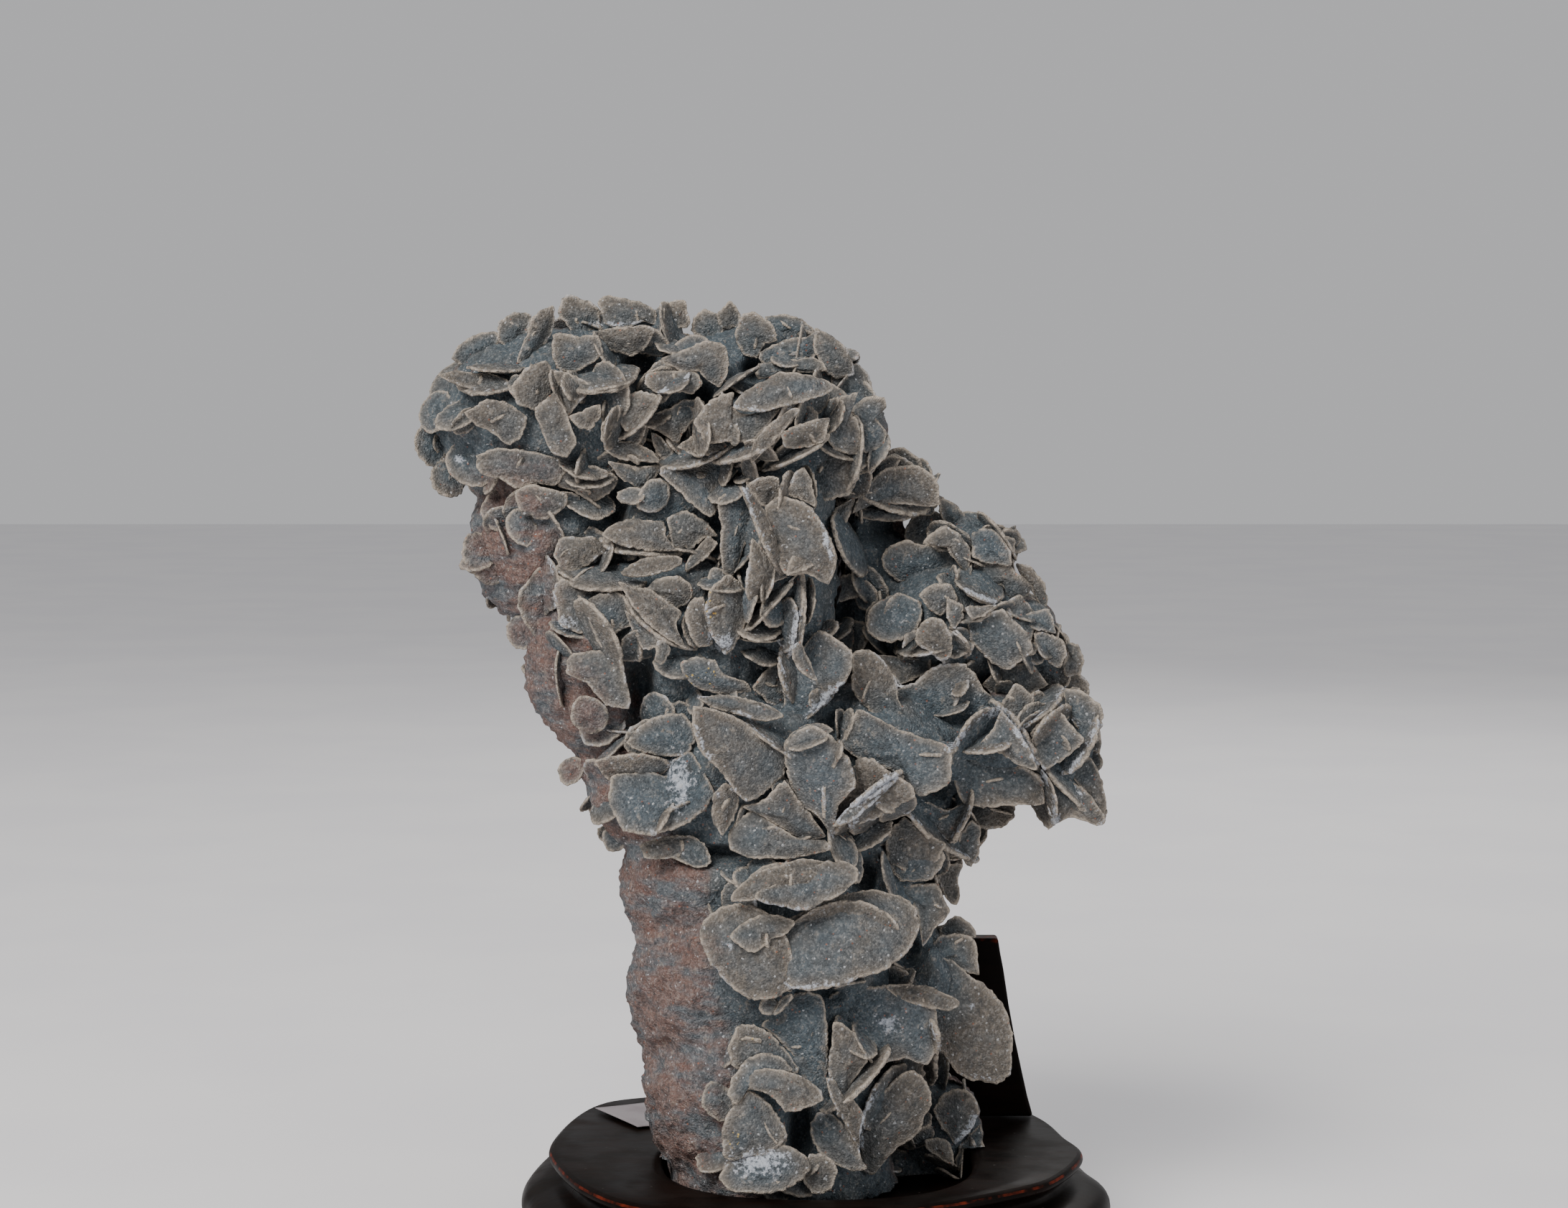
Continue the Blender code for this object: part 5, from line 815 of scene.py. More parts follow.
def covers(crystal):
    # Whether a crystal would stand before a traced plate.
    turns = np.arange(16) / 16 * math.tau
    rim = (crystal["middle"] + np.outer(crystal["halfLength"] * 0.85 * np.cos(turns), crystal["along"])
           + np.outer(crystal["halfWidth"] * 0.85 * np.sin(turns), crystal["cross"]))
    rim = np.concatenate([rim, crystal["middle"][None]])
    near = []
    for row in leafPlates:
        away = (crystal["seen"][0] - np.mean(row[3::2]), crystal["seen"][1] - np.mean(row[4::2]))
        if math.hypot(*away) < crystal["halfLength"] + 15:
            near.append(row)
    hits = 0
    for depth, across, up in zip(rim[:, 1], *seenAt(rim)):
        hits += any(within(across, up, row) and depth < leafDepth(row, across, up) + 0.5 for row in near)
    return hits > 2


def blade(row, seed):
    # A crystal seen on edge: its rim runs between both ends and stands out most half way.
    a, b, c, d, out, lean = row
    ends = [spot(a, b, surfaceDepth(a, b) - 1.3)[0], spot(c, d, surfaceDepth(c, d) - 1.3)[0]]
    out += 0.9
    length = np.linalg.norm(ends[1] - ends[0])
    along = unit(ends[1] - ends[0])
    inward = (ends[0] + ends[1]) / 2 - eye
    inward = unit(inward - along * (inward @ along))
    side = np.cross(along, inward)
    lean = math.radians(lean)
    down = inward * math.cos(lean) + side * math.sin(lean)
    wide = out * 1.8 + 1.0
    long = length / 2 / math.sqrt(1 - ((wide - out) / wide) ** 2) * 1.04
    middle = (ends[0] + ends[1]) / 2 + down * (wide - out)
    start, reach = corners(long, random.Random(seed))
    return {
        "middle": middle, "along": along, "cross": -down, "normal": np.cross(along, -down), "start": start,
        "reach": 1 + (reach - 1) * 0.4, "halfLength": long, "halfWidth": wide,
        "seen": ((a + c) / 2, (b + d) / 2),
    }


def ringFaces(outer, inner):
    # Faces between two rings of points, where the inner may have half as many.
    if len(inner) == len(outer):
        return [], np.stack([outer, np.roll(outer, -1), np.roll(inner, -1), inner], axis=1)
    first, second, third = outer[0::2], outer[1::2], np.roll(outer, -2)[0::2]
    fours = np.stack([second, third, np.roll(inner, -1), inner], axis=1)
    return [np.stack([first, second, inner], axis=1)], fours


def shapedCrystal(crystal, spacing, rng):
    # A thin lens with a crumbly beaded rim: points, triangles, quads, rim distance and flat places per point.
    long, wide = crystal["halfLength"], crystal["halfWidth"]
    count = int(np.clip(round(math.pi * (long + wide) / spacing / 4) * 4, 16, 156))
    angle = np.arange(count) / count * math.tau
    reach, sides = crystal["reach"], len(crystal["reach"])
    place = ((angle - crystal["start"]) / math.tau * sides) % sides
    low = np.floor(place).astype(int) % sides
    part = place - np.floor(place)
    part = part * part * (3 - 2 * part)
    out = 1 + (reach[low] * (1 - part) + reach[(low + 1) % sides] * part - 1) * 0.55
    for wave, size in ((2, 0.012), (3, 0.014), (5, 0.009), (9, 0.006), (14, 0.005)):
        out = out + rng.normal(0, size) * np.cos(wave * angle + rng.uniform(0, math.tau))
    pointed = rng.uniform(0.04, 0.36) if long < 11 else rng.uniform(0.0, 0.16)
    x = long * out * np.cos(angle)
    y = wide * out * np.sin(angle) * np.abs(np.sin(angle)) ** pointed
    if "outline" in crystal:
        curve = np.vstack([crystal["outline"], crystal["outline"][:1]])
        far = np.concatenate([[0], np.cumsum(np.linalg.norm(np.diff(curve, axis=0), axis=1))])
        count = int(np.clip(round(far[-1] / spacing / 4) * 4, 16, 200))
        reached = np.arange(count) / count * far[-1]
        x, y = np.interp(reached, far, curve[:, 0]), np.interp(reached, far, curve[:, 1])
        angle = np.arctan2(y, x)
    radius = np.hypot(x, y)
    crumbs = (rng.normal(0, 1, count) * stoneLook["ragged"] * 0.55
              + evened(rng.normal(0, 1, count), 2) * stoneLook["ragged"])
    for _ in range(rng.integers(0, 4)):
        at, size = rng.uniform(0, math.tau), rng.uniform(0.03, 0.09)
        gapTo = np.angle(np.exp(1j * (angle - at)))
        crumbs -= rng.uniform(0.15, 0.035 * long + 0.2) * np.exp(-(gapTo / size) ** 2)
    grow = (radius + crumbs) / radius
    x, y, radius = x * grow, y * grow, radius * grow

    fit = min(1.0, radius.min() * 0.75 / 2.8)
    steps = np.array([0.14, 0.48, 1.3, 3.0]) * fit
    rim = stoneLook["rimThickness"] * float(np.clip(long / 9, 0.62, 1.1)) * rng.uniform(0.8, 1.2)
    mid = max(rim * 0.6, (stoneLook["edgeThickness"] + stoneLook["bulge"] * wide) / 2)
    bow, bend, twist = rng.normal(0, 0.06) * wide, rng.normal(0, 0.045) * long, rng.normal(0, 0.06) * wide
    swell, drift = rng.uniform(0, math.tau, 2), rng.uniform(0.25, 0.45)

    def middleHeight(px, py):
        u, v = px / long, py / wide
        wave = 0.016 * long * (np.sin(px * drift + swell[0]) + np.sin(py * drift * 1.3 + swell[1]))
        return bow * (1 - u * u - v * v) + bend * u * u + twist * u * v + wave

    bead = 1 + 0.22 * evened(rng.normal(0, 1, count), 1)
    points, edge, flat = [], [], []

    def ring(px, py, distance, height):
        first = sum(len(p) for p in points)
        points.append(np.stack([px, py, middleHeight(px, py) + height], axis=1))
        edge.append(np.broadcast_to(distance, px.shape).astype(float))
        flat.append(np.stack([px, py], axis=1))
        return first + np.arange(len(px))

    outer = ring(x, y, 0.0, rng.normal(0, 0.07, count))
    trisTop, quadsTop, trisBack, quadsBack = [], [], [], []
    for side, tris, quads in ((1, trisTop, quadsTop), (-1, trisBack, quadsBack)):
        rings = [outer]
        last = 1 - steps[3] / radius[::2]
        levels = [
            (slice(None), 1 - steps[0] / radius, steps[0], rim * 0.4 * bead),
            (slice(None), 1 - steps[1] / radius, steps[1], rim * 0.5 * bead),
            (slice(None, None, 2), 1 - steps[2] / radius[::2], steps[2], rim * 0.5 + (mid - rim * 0.5) * 0.14),
            (slice(None, None, 2), last, steps[3], rim * 0.5 + (mid - rim * 0.5) * 0.42),
            (slice(None, None, 4), last[::2] * 0.58, None, mid * 0.9),
        ]
        for picked, share, distance, height in levels:
            px, py = x[picked] * share, y[picked] * share
            if distance is None:
                distance = radius[picked] * (1 - share)
            rough = rng.normal(0, 0.05 if len(rings) < 3 else 0.10, len(px))
            height = height + 0 * px
            rings.append(ring(px + rng.normal(0, 0.04, len(px)), py + rng.normal(0, 0.04, len(px)),
                              distance, side * (height + rough)))
        centre = ring(np.zeros(1), np.zeros(1), float(radius.min()), side * mid)
        for a, b in zip(rings, rings[1:]):
            moreTris, moreQuads = ringFaces(a, b)
            tris += moreTris
            quads.append(moreQuads)
        inner = rings[-1]
        tris.append(np.stack([inner, np.roll(inner, -1), np.repeat(centre, len(inner))], axis=1))
    flipped = [np.concatenate(group)[:, ::-1] for group in (trisBack, quadsBack)]
    local = np.concatenate(points)
    world = (crystal["middle"] + np.outer(local[:, 0], crystal["along"]) + np.outer(local[:, 1], crystal["cross"])
             + np.outer(local[:, 2], crystal["normal"]))
    return {
        "points": world, "edge": np.concatenate(edge), "flat": np.concatenate(flat),
        "tris": np.concatenate([np.concatenate(trisTop), flipped[0]]), "topTris": sum(len(t) for t in trisTop),
        "quads": np.concatenate([np.concatenate(quadsTop), flipped[1]]),
        "topQuads": sum(len(q) for q in quadsTop), "seen": crystal["seen"],
    }


def crossing(host, x, y, turn, lean, halfLength, halfWidth, out, seed):
    # A crystal grown through another: turned in the face of its host and leaned out of it.
    turn, lean = math.radians(turn), math.radians(lean)
    face = host["normal"] if host["normal"] @ nearWay > 0 else -host["normal"]
    along = host["along"] * math.cos(turn) + host["cross"] * math.sin(turn)
    side = host["cross"] * math.cos(turn) - host["along"] * math.sin(turn)
    middle = host["middle"] + host["along"] * x + host["cross"] * y + face * out
    start, reach = corners(halfLength, random.Random(seed))
    return {
        "middle": middle, "along": along, "cross": side * math.cos(lean) + face * math.sin(lean),
        "normal": face * math.cos(lean) - side * math.sin(lean), "start": start, "reach": reach,
        "halfLength": halfLength, "halfWidth": halfWidth, "seen": tuple(map(float, seenAt(middle))),
    }


def crossed(hosts, rng, plain, chance, size=1.0):
    # Blades grown through the others at an angle, standing a little out of their faces.
    made = []
    for host in hosts:
        large = host["halfLength"] > 7
        if large and any(math.hypot(host["seen"][0] - a, host["seen"][1] - u) < 3 for a, u in plain):
            continue
        for _ in range(1 + int(large and rng.uniform() < 0.5)):
            if rng.uniform() > chance:
                continue
            angle, share = rng.uniform(0, math.tau), rng.uniform(0.1, 0.75)
            halfLength = host["halfLength"] * rng.uniform(0.4, 0.72) * size
            halfWidth = halfLength * rng.uniform(0.55, 0.8)
            lean = rng.uniform(32, 88) * rng.choice([1, -1])
            proud = rng.uniform(0.28, 0.5) * halfWidth
            out = -(halfWidth * abs(math.sin(math.radians(lean))) - proud - 0.8)
            made.append(crossing(host, math.cos(angle) * share * host["halfLength"] * 0.7,
                                 math.sin(angle) * share * host["halfWidth"] * 0.7, rng.uniform(0, 180), lean,
                                 halfLength, halfWidth, min(out, 0.0), int(rng.integers(1 << 30))))
    return made


stand = {
    "height": 22.0, "socketDepth": 6.0, "socketMiddle": (0.0, -6.5), "socketHalf": (33.0, 32.5),
    "outline": [
        (57.0, -2.0), (50.5, -20.5), (41.5, -31.0), (20.0, -44.0), (-8.0, -49.5), (-34.0, -45.0), (-48.0, -30.0),
        (-56.5, -6.0), (-57.5, 12.0), (-51.5, 38.0), (-39.0, 48.0), (-8.0, 54.5), (24.0, 52.0), (43.0, 41.5),
        (51.0, 28.0), (54.5, 12.0),
    ],
    "moulding": [
        (22.0, -1.0), (21.2, 0.0), (19.8, 0.0), (18.6, -2.6), (16.2, -2.6), (15.0, 1.8), (13.0, 5.2), (9.6, 6.2),
        (5.6, 4.8), (3.4, 3.4), (0.0, 3.9),
    ],
}


def seated(points):
    # Keeps the stone's foot in its socket and on the stand.
    x = (points[:, 0] - stand["socketMiddle"][0]) / (stand["socketHalf"][0] - 1.6)
    y = (points[:, 1] - stand["socketMiddle"][1]) / (stand["socketHalf"][1] - 1.6)
    ratio = (np.abs(x) ** 2.5 + np.abs(y) ** 2.5) ** 0.4
    top, floor = stand["height"] + 0.35, stand["height"] - stand["socketDepth"] + 0.35
    points = points.copy()
    points[:, 2] = np.where(ratio > 1, np.maximum(points[:, 2], top), np.maximum(points[:, 2], floor))
    return points


def spread(points, rows):
    # Strongest of several soft elliptical patches at each point.
    across, up = seenAt(points)
    found = np.zeros(len(points))
    for a, u, wide, high, strength in rows:
        away = ((across - a) / wide) ** 2 + ((up - u) / high) ** 2
        found = np.maximum(found, strength * np.exp(-away * 0.9))
    return found


def strokes(points, rows):
    across, up = seenAt(points)
    found = np.zeros(len(points))
    for a, b, c, d, wide, strength in rows:
        length = (c - a) ** 2 + (d - b) ** 2
        share = np.clip(((across - a) * (c - a) + (up - b) * (d - b)) / length, 0, 1)
        away = (across - a - share * (c - a)) ** 2 + (up - b - share * (d - b)) ** 2
        found = np.maximum(found, strength * np.exp(-away / wide ** 2 * 1.1))
    return found


# Blue-grey hues here partly paint the shade on crystals that lay in shadow.
def hueAt(seen, rng):
    hue, weight = rng.normal(0.56, 0.18), 0.0
    for across, up, wide, high, value in huePatches:
        near = math.exp(-((seen[0] - across) / wide) ** 2 - ((seen[1] - up) / high) ** 2)
        if near > weight:
            weight, hue = near, hue * (1 - 0.8 * near) + (value + rng.normal(0, 0.08)) * 0.8 * near
    return float(np.clip(hue, 0, 1))


def packedPlaces(forms):
    # Lays both faces of every crystal side by side on one square, for the bake.
    sizes = []
    for form in forms:
        low, high = form["flat"].min(axis=0), form["flat"].max(axis=0)
        sizes.append((low, high - low + 0.8))
    order = sorted(range(len(forms)), key=lambda i: -sizes[i][1][1])
    total = sum(2 * s[1][0] * s[1][1] for s in sizes)
    across = math.sqrt(total) * 1.08
    places, x, y, tall = [None] * len(forms), 0.0, 0.0, 0.0
    for i in order:
        low, size = sizes[i]
        starts = []
        for _ in range(2):
            if x + size[0] > across:
                x, y, tall = 0.0, y + tall, 0.0
            starts.append(np.array((x + 0.4, y + 0.4)) - low)
            x, tall = x + size[0], max(tall, size[1])
        places[i] = starts
    return places, 1 / max(across, y + tall)


def setNumbers(mesh, name, values):
    mesh.attributes.new(name, "FLOAT", "POINT").data.foreach_set("value", np.asarray(values, np.float32))


def meshFrom(name, points, tris, quads):
    mesh = bpy.data.meshes.new(name)
    mesh.vertices.add(len(points))
    mesh.vertices.foreach_set("co", (points * mm).astype(np.float32).ravel())
    mesh.loops.add(tris.size + quads.size)
    mesh.loops.foreach_set("vertex_index", np.concatenate([tris.ravel(), quads.ravel()]).astype(np.int32))
    mesh.polygons.add(len(tris) + len(quads))
    starts = np.concatenate([np.arange(len(tris)) * 3, tris.size + np.arange(len(quads)) * 4])
    mesh.polygons.foreach_set("loop_start", starts.astype(np.int32))
    mesh.polygons.foreach_set("use_smooth", np.ones(len(tris) + len(quads), bool))
    mesh.update(calc_edges=True)
    made = bpy.data.objects.new(name, mesh)
    bpy.context.scene.collection.objects.link(made)
    return made


def stoneNumbers(mesh, points, edge, hue, pink):
    setNumbers(mesh, "edge", edge)
    setNumbers(mesh, "hue", hue)
    setNumbers(mesh, "pink", pink)
    frost = np.maximum(strokes(points, frostStrokes) * 0.9 * (edge < 1.5), spread(points, frostPatches))
    setNumbers(mesh, "frost", frost)
    setNumbers(mesh, "ochre", spread(points, [(*row, 1.0) for row in ochrePatches]) * (points[:, 1] < 0))
    # Painted shade: recessShade grows close to the ground mass, in the hollows between crystals where shade falls.
    setNumbers(mesh, "recessShade", np.clip(1 - outsideGround(points) / 4.5, 0, 1))


def crystalPiece(name, forms, rng):
    first, points, tris, quads, edge, hue, corner = 0, [], [], [], [], [], [[], []]
    places, scale = packedPlaces(forms)
    for form, starts in zip(forms, places):
        points.append(form["points"])
        tris.append(form["tris"] + first)
        quads.append(form["quads"] + first)
        edge.append(form["edge"])
        hue.append(np.full(len(form["edge"]), hueAt(form["seen"], rng)))
        for kind, faces, top in ((0, form["tris"], form["topTris"]), (1, form["quads"], form["topQuads"])):
            corner[kind].append((form["flat"][faces[:top].ravel()] + starts[0]) * scale)
            corner[kind].append((form["flat"][faces[top:].ravel()] + starts[1]) * scale)
        first += len(form["points"])
    points = seated(np.concatenate(points))
    made = meshFrom(name, points, np.concatenate(tris), np.concatenate(quads))
    places = np.concatenate(corner[0] + corner[1])
    made.data.uv_layers.new(name="OFBake").data.foreach_set("uv", places.astype(np.float32).ravel())
    stoneNumbers(made.data, points, np.concatenate(edge), np.concatenate(hue), spread(points, pinkPatches))
    return made


def groundMass(rng):
    # Overlapping rounded lumps under one skin, roughened, with bands on the bare side and sunken hollows.
    ball = bmesh.new()
    bmesh.ops.create_icosphere(ball, subdivisions=4, radius=1.0)
    ballPoints = np.array([v.co for v in ball.verts])
    faces = np.array([[v.index for v in f.verts] for f in ball.faces])
    ball.free()
    lumps = [
        spot(row[0] + row[3] * ballPoints[:, 0], row[1] + row[4] * ballPoints[:, 2],
             row[2] + row[5] * ballPoints[:, 1])[0]
        for row in ground
    ]
    allFaces = np.concatenate([faces + i * len(ballPoints) for i in range(len(lumps))])
    raw = meshFrom("raw_mass", np.concatenate(lumps), allFaces, np.zeros((0, 4), int))
    skin = raw.modifiers.new("skin", "REMESH")
    skin.mode, skin.voxel_size = "VOXEL", stoneLook["voxel"] * mm
    soften = raw.modifiers.new("soften", "SMOOTH")
    soften.factor, soften.iterations = 0.5, 6
    bpy.context.view_layer.update()
    whole = bpy.data.meshes.new_from_object(raw.evaluated_get(bpy.context.evaluated_depsgraph_get()))
    bpy.data.objects.remove(raw)
    count = len(whole.vertices)
    points, normals = np.empty(count * 3, np.float32), np.empty(count * 3, np.float32)
    whole.vertices.foreach_get("co", points)
    whole.vertices.foreach_get("normal", normals)
    points, normals = points.reshape(-1, 3).astype(float) / mm, normals.reshape(-1, 3).astype(float)
    across, up = seenAt(points)
    front = np.clip(-normals[:, 1] * 2.2 + 0.35, 0, 1)
    bare = np.clip((-13 - across) / 6, 0, 1) * np.clip((-50 - up) / 8, 0, 1)
    bare = np.maximum(bare, np.clip((-48 - across) / 5, 0, 1) * np.clip((26 - up) / 8, 0, 1))
    bare = np.maximum(bare, np.clip((-36 - across - 0.28 * up) / 4, 0, 1) * np.clip((6 - up) / 8, 0, 1))
    coarse = np.array([noise.fractal(Vector(p) / 7.5, 0.7, 2.1, 4) for p in points])
    fine = np.array([
        noise.fractal(Vector((p[0], p[1], p[2] * 1.5)) / 2.4 + Vector((7, 3, 1)), 0.8, 2.2, 3) for p in points
    ])
    bands = np.array([noise.noise(Vector((p[0] / 16, p[1] / 16, p[2] / 2.6))) for p in points])
    move = coarse * (1.3 - 0.1 * bare) + fine * (0.42 + 0.3 * bare) + bands * 0.4 * np.maximum(bare, 1 - front)
    move -= stoneLook["setBack"] * front * (1 - bare)
    points += normals * (move * stoneLook["relief"])[:, None]
    for a, u, wide, high, deep in hollows:
        share = np.exp(-(((across - a) / wide) ** 2 + ((up - u) / high) ** 2) ** 1.5)
        points[:, 1] += share * deep * (normals[:, 1] < 0.1)
    points = seated(points)
    whole.vertices.foreach_set("co", (points * mm).astype(np.float32).ravel())
    whole.name = "ground_mass"
    whole.polygons.foreach_set("use_smooth", np.ones(len(whole.polygons), bool))
    whole.update()
    made = bpy.data.objects.new("ground_mass", whole)
    bpy.context.scene.collection.objects.link(made)
    pink = np.maximum(spread(points, pinkPatches), np.maximum(0.75 * (1 - front), bare * 0.95))
    stoneNumbers(whole, points, np.full(count, 6.0), np.clip(0.45 + 0.5 * coarse, 0, 1), pink)
    # Painted shade over the front of the ground mass among the crystals, left off the bare side.
    recessShade = whole.attributes["recessShade"].data
    recessShade.foreach_set("value", (0.8 * front * (1 - bare)).astype(np.float32))
    return made


# Shader building.
class Wire:
    # A socket that takes part in sums.
    def __init__(self, paint, socket):
        self.paint, self.socket = paint, socket

    def joined(self, operation, first, second):
        return self.paint.node("ShaderNodeMath", {"operation": operation}, {0: first, 1: second})

    def __add__(self, other):
        return self.joined("ADD", self, other)

    __radd__ = __add__

    def __sub__(self, other):
        return self.joined("SUBTRACT", self, other)

    def __rsub__(self, other):
        return self.joined("SUBTRACT", other, self)

    def __mul__(self, other):
        return self.joined("MULTIPLY", self, other)

    __rmul__ = __mul__


class Paint:
    def __init__(self, name):
        self.material = bpy.data.materials.new(name)
        self.material.use_nodes = True
        self.tree = self.material.node_tree
        self.tree.nodes.clear()

    def node(self, kind, settings=None, sockets=None, output=0):
        made = self.tree.nodes.new(kind)
        for key, value in (settings or {}).items():
            if key == "stops":
                for place, (at, colour) in enumerate(value):
                    stop = made.color_ramp.elements[place] if place < 2 else made.color_ramp.elements.new(at)
                    stop.position, stop.color = at, colour
            else:
                setattr(made, key, value)
        for key, value in (sockets or {}).items():
            if isinstance(value, Wire):
                self.tree.links.new(value.socket, made.inputs[key])
            else:
                made.inputs[key].default_value = value
        return Wire(self, made.outputs[output]) if len(made.outputs) else None

    def number(self, name):
        return self.node("ShaderNodeAttribute", {"attribute_name": name}, output="Fac")

    def grain(self, where, scale, detail=2.0, rough=0.5):
        return self.node("ShaderNodeTexNoise", {},
                         {"Vector": where, "Scale": scale, "Detail": detail, "Roughness": rough})

    def cells(self, where, scale, output="Distance"):
        return self.node("ShaderNodeTexVoronoi", {}, {"Vector": where, "Scale": scale}, output=output)

    def between(self, value, low, high):
        return self.node("ShaderNodeMapRange", {"interpolation_type": "SMOOTHSTEP"},
                         {"Value": value, "From Min": low, "From Max": high})

    def mix(self, share, first, second, blend="MIX"):
        pair = [value if isinstance(value, Wire) else (*value, 1.0) for value in (first, second)]
        return self.node("ShaderNodeMix", {"data_type": "RGBA", "blend_type": blend},
                         {0: share, 6: pair[0], 7: pair[1]}, output=2)

    def finish(self, sockets):
        surface = self.node("ShaderNodeBsdfPrincipled", {}, sockets)
        self.node("ShaderNodeOutputMaterial", {}, {"Surface": surface})
        return self.material


# The deep colour below is the bluish painted shade laid into recesses.
gypsumLook = {
    "blueGrey": (0.080, 0.102, 0.119), "brownGrey": (0.116, 0.100, 0.084), "deep": (0.052, 0.075, 0.090),
    "rimTan": (0.44, 0.375, 0.305), "frost": (0.52, 0.56, 0.63), "pinkBrown": (0.168, 0.106, 0.090),
    "coldPatch": (0.105, 0.118, 0.130), "rustBand": (0.142, 0.066, 0.050), "ochre": (0.62, 0.43, 0.12),
    "rust": (0.36, 0.12, 0.06), "lightGrain": (0.47, 0.47, 0.46), "darkGrain": (0.035, 0.040, 0.044),
    "sparkle": (0.78, 0.80, 0.83), "grainScale": 2450.0, "bump": 0.00052,
}


def gypsumMaterial():
    paint = Paint("sandy_gypsum_look")
    c = gypsumLook
    where = paint.node("ShaderNodeTexCoord", {}, {}, output="Object")
    grainGap = paint.cells(where, c["grainScale"])
    tone = paint.cells(where, c["grainScale"], "Color")
    crumb = paint.grain(where, 800.0, 4.0, 0.62)
    lump = paint.grain(where, 360.0, 4.0, 0.6)
    mottle = paint.grain(where, 170.0, 4.0, 0.6)
    broad = paint.grain(where, 45.0, 3.0, 0.55)
    edge, hue, frost = paint.number("edge"), paint.number("hue"), paint.number("frost")
    pink, recessShade, ochre = paint.number("pink"), paint.number("recessShade"), paint.number("ochre")

    # Bluish in the middles, a little browner towards each rim, with painted shade: the hollows made bluer and darker.
    nearRim = 1 - paint.between(edge + (mottle - 0.5) * 3.0, 0.4, 5.0)
    warmth = hue + nearRim * 0.30 + (mottle - 0.5) * 1.1 + (broad - 0.5) * 0.9 - recessShade * 0.30
    warm = paint.between(warmth, 0.05, 0.95)
    face = paint.mix(warm, c["blueGrey"], c["brownGrey"])
    face = paint.mix(recessShade * 0.5, face, c["deep"])

    # Bare sandy ground mass: dull pinkish brown in level bands with cold patches.
    stretched = paint.node("ShaderNodeMapping", {}, {"Vector": where, "Scale": (0.5, 0.5, 1.3)})
    bands = paint.grain(stretched, 130.0, 5.0, 0.65)
    matrix = paint.mix(paint.between(bands, 0.42, 0.62), c["pinkBrown"], c["coldPatch"])
    rusty = paint.between(paint.grain(stretched, 300.0, 3.0), 0.52, 0.70)
    matrix = paint.mix(rusty * 0.6, matrix, c["rustBand"])
    bareness = pink + (mottle - 0.5) * 0.5 + (crumb - 0.5) * 0.3
    bareShare = paint.between(bareness, 0.3, 0.8) * (1 - nearRim * 0.35)
    face = paint.mix(bareShare, face, matrix)

    # Sandy brown towards each rim, pale tan crumbs along it, then frost.
    shoulder = 1 - paint.between(edge + (mottle - 0.5) * 2.4 + (crumb - 0.5) * 1.2, 0.3, 2.4)
    # The rim tan is held back under the painted recess shade.
    face = paint.mix(shoulder * 0.20 * (1 - recessShade * 0.7), face, c["rimTan"])
    rim = 1 - paint.between(edge + (crumb - 0.5) * 1.3 + (tone - 0.5) * 0.3, 0.15, 0.85)
    face = paint.mix(rim * paint.between(lump, 0.26, 0.54) * 0.90, face, c["rimTan"])
    ownFrost = rim * paint.between(lump + (broad - 0.5) * 0.8, 0.60, 0.76) * 0.6
    snow = paint.between(frost + (crumb - 0.5) * 1.9 + (lump - 0.5) * 0.8 + (tone - 0.5) * 0.5, 0.58, 1.02)
    frosted = paint.node("ShaderNodeMath", {"operation": "MAXIMUM"}, {0: snow * 0.74, 1: ownFrost * 0.8})
    face = paint.mix(frosted, face, c["frost"])

    # Sand: each grain lighter or darker, dark gaps, glints, yellow and rust flecks.
    face = paint.mix(paint.between(tone, 0.45, 0.95) * 0.20, face, c["lightGrain"])
    face = paint.mix((1 - paint.between(tone, 0.10, 0.50)) * 0.30, face, c["darkGrain"])
    face = paint.mix((1 - paint.between(crumb, 0.32, 0.48)) * 0.55, face, c["darkGrain"])
    face = paint.mix((1 - paint.between(lump, 0.34, 0.48)) * 0.35, face, c["darkGrain"])
    face = paint.mix(paint.between(crumb + (lump - 0.5) * 0.6, 0.58, 0.74) * 0.28, face, c["rimTan"])
    glints = paint.between(tone, 0.90, 0.94)
    face = paint.mix(glints * 0.30, face, c["sparkle"])
    fleckTone = paint.cells(where, 1300.0, "Color")
    fleck = 1 - paint.between(paint.cells(where, 1300.0), 0.22, 0.36)
    yellow = fleck * paint.between(ochre, 0.35, 0.6) * paint.between(fleckTone, 0.46, 0.50)
    face = paint.mix(yellow, face, c["ochre"])
    face = paint.mix(fleck * paint.between(fleckTone, 0.86, 0.88) * 0.45, face, c["rust"])

    height = (1 - grainGap) * 0.42 + tone * 0.12 + crumb * 1.2 + lump * 1.5 + lump * bareShare * 1.4 + snow * 0.3
    bump = paint.node("ShaderNodeBump", {}, {"Strength": 1.0, "Distance": c["bump"], "Height": height})
    return paint.finish({
        "Base Color": face, "Roughness": 0.90 - glints * 0.40, "Normal": bump, "IOR": 1.52,
        "Specular IOR Level": 0.3,
    })


# The reddish wearAndSheen colour stands for worn-through lacquer and a painted highlight together.
lacquerLook = {
    "dark": (0.0032, 0.0022, 0.0018), "brown": (0.0085, 0.0040, 0.0028), "wearAndSheen": (0.16, 0.022, 0.009),
    "dust": (0.10, 0.09, 0.08), "coat": 0.02, "coatRoughness": 0.22, "specular": 0.03,
}


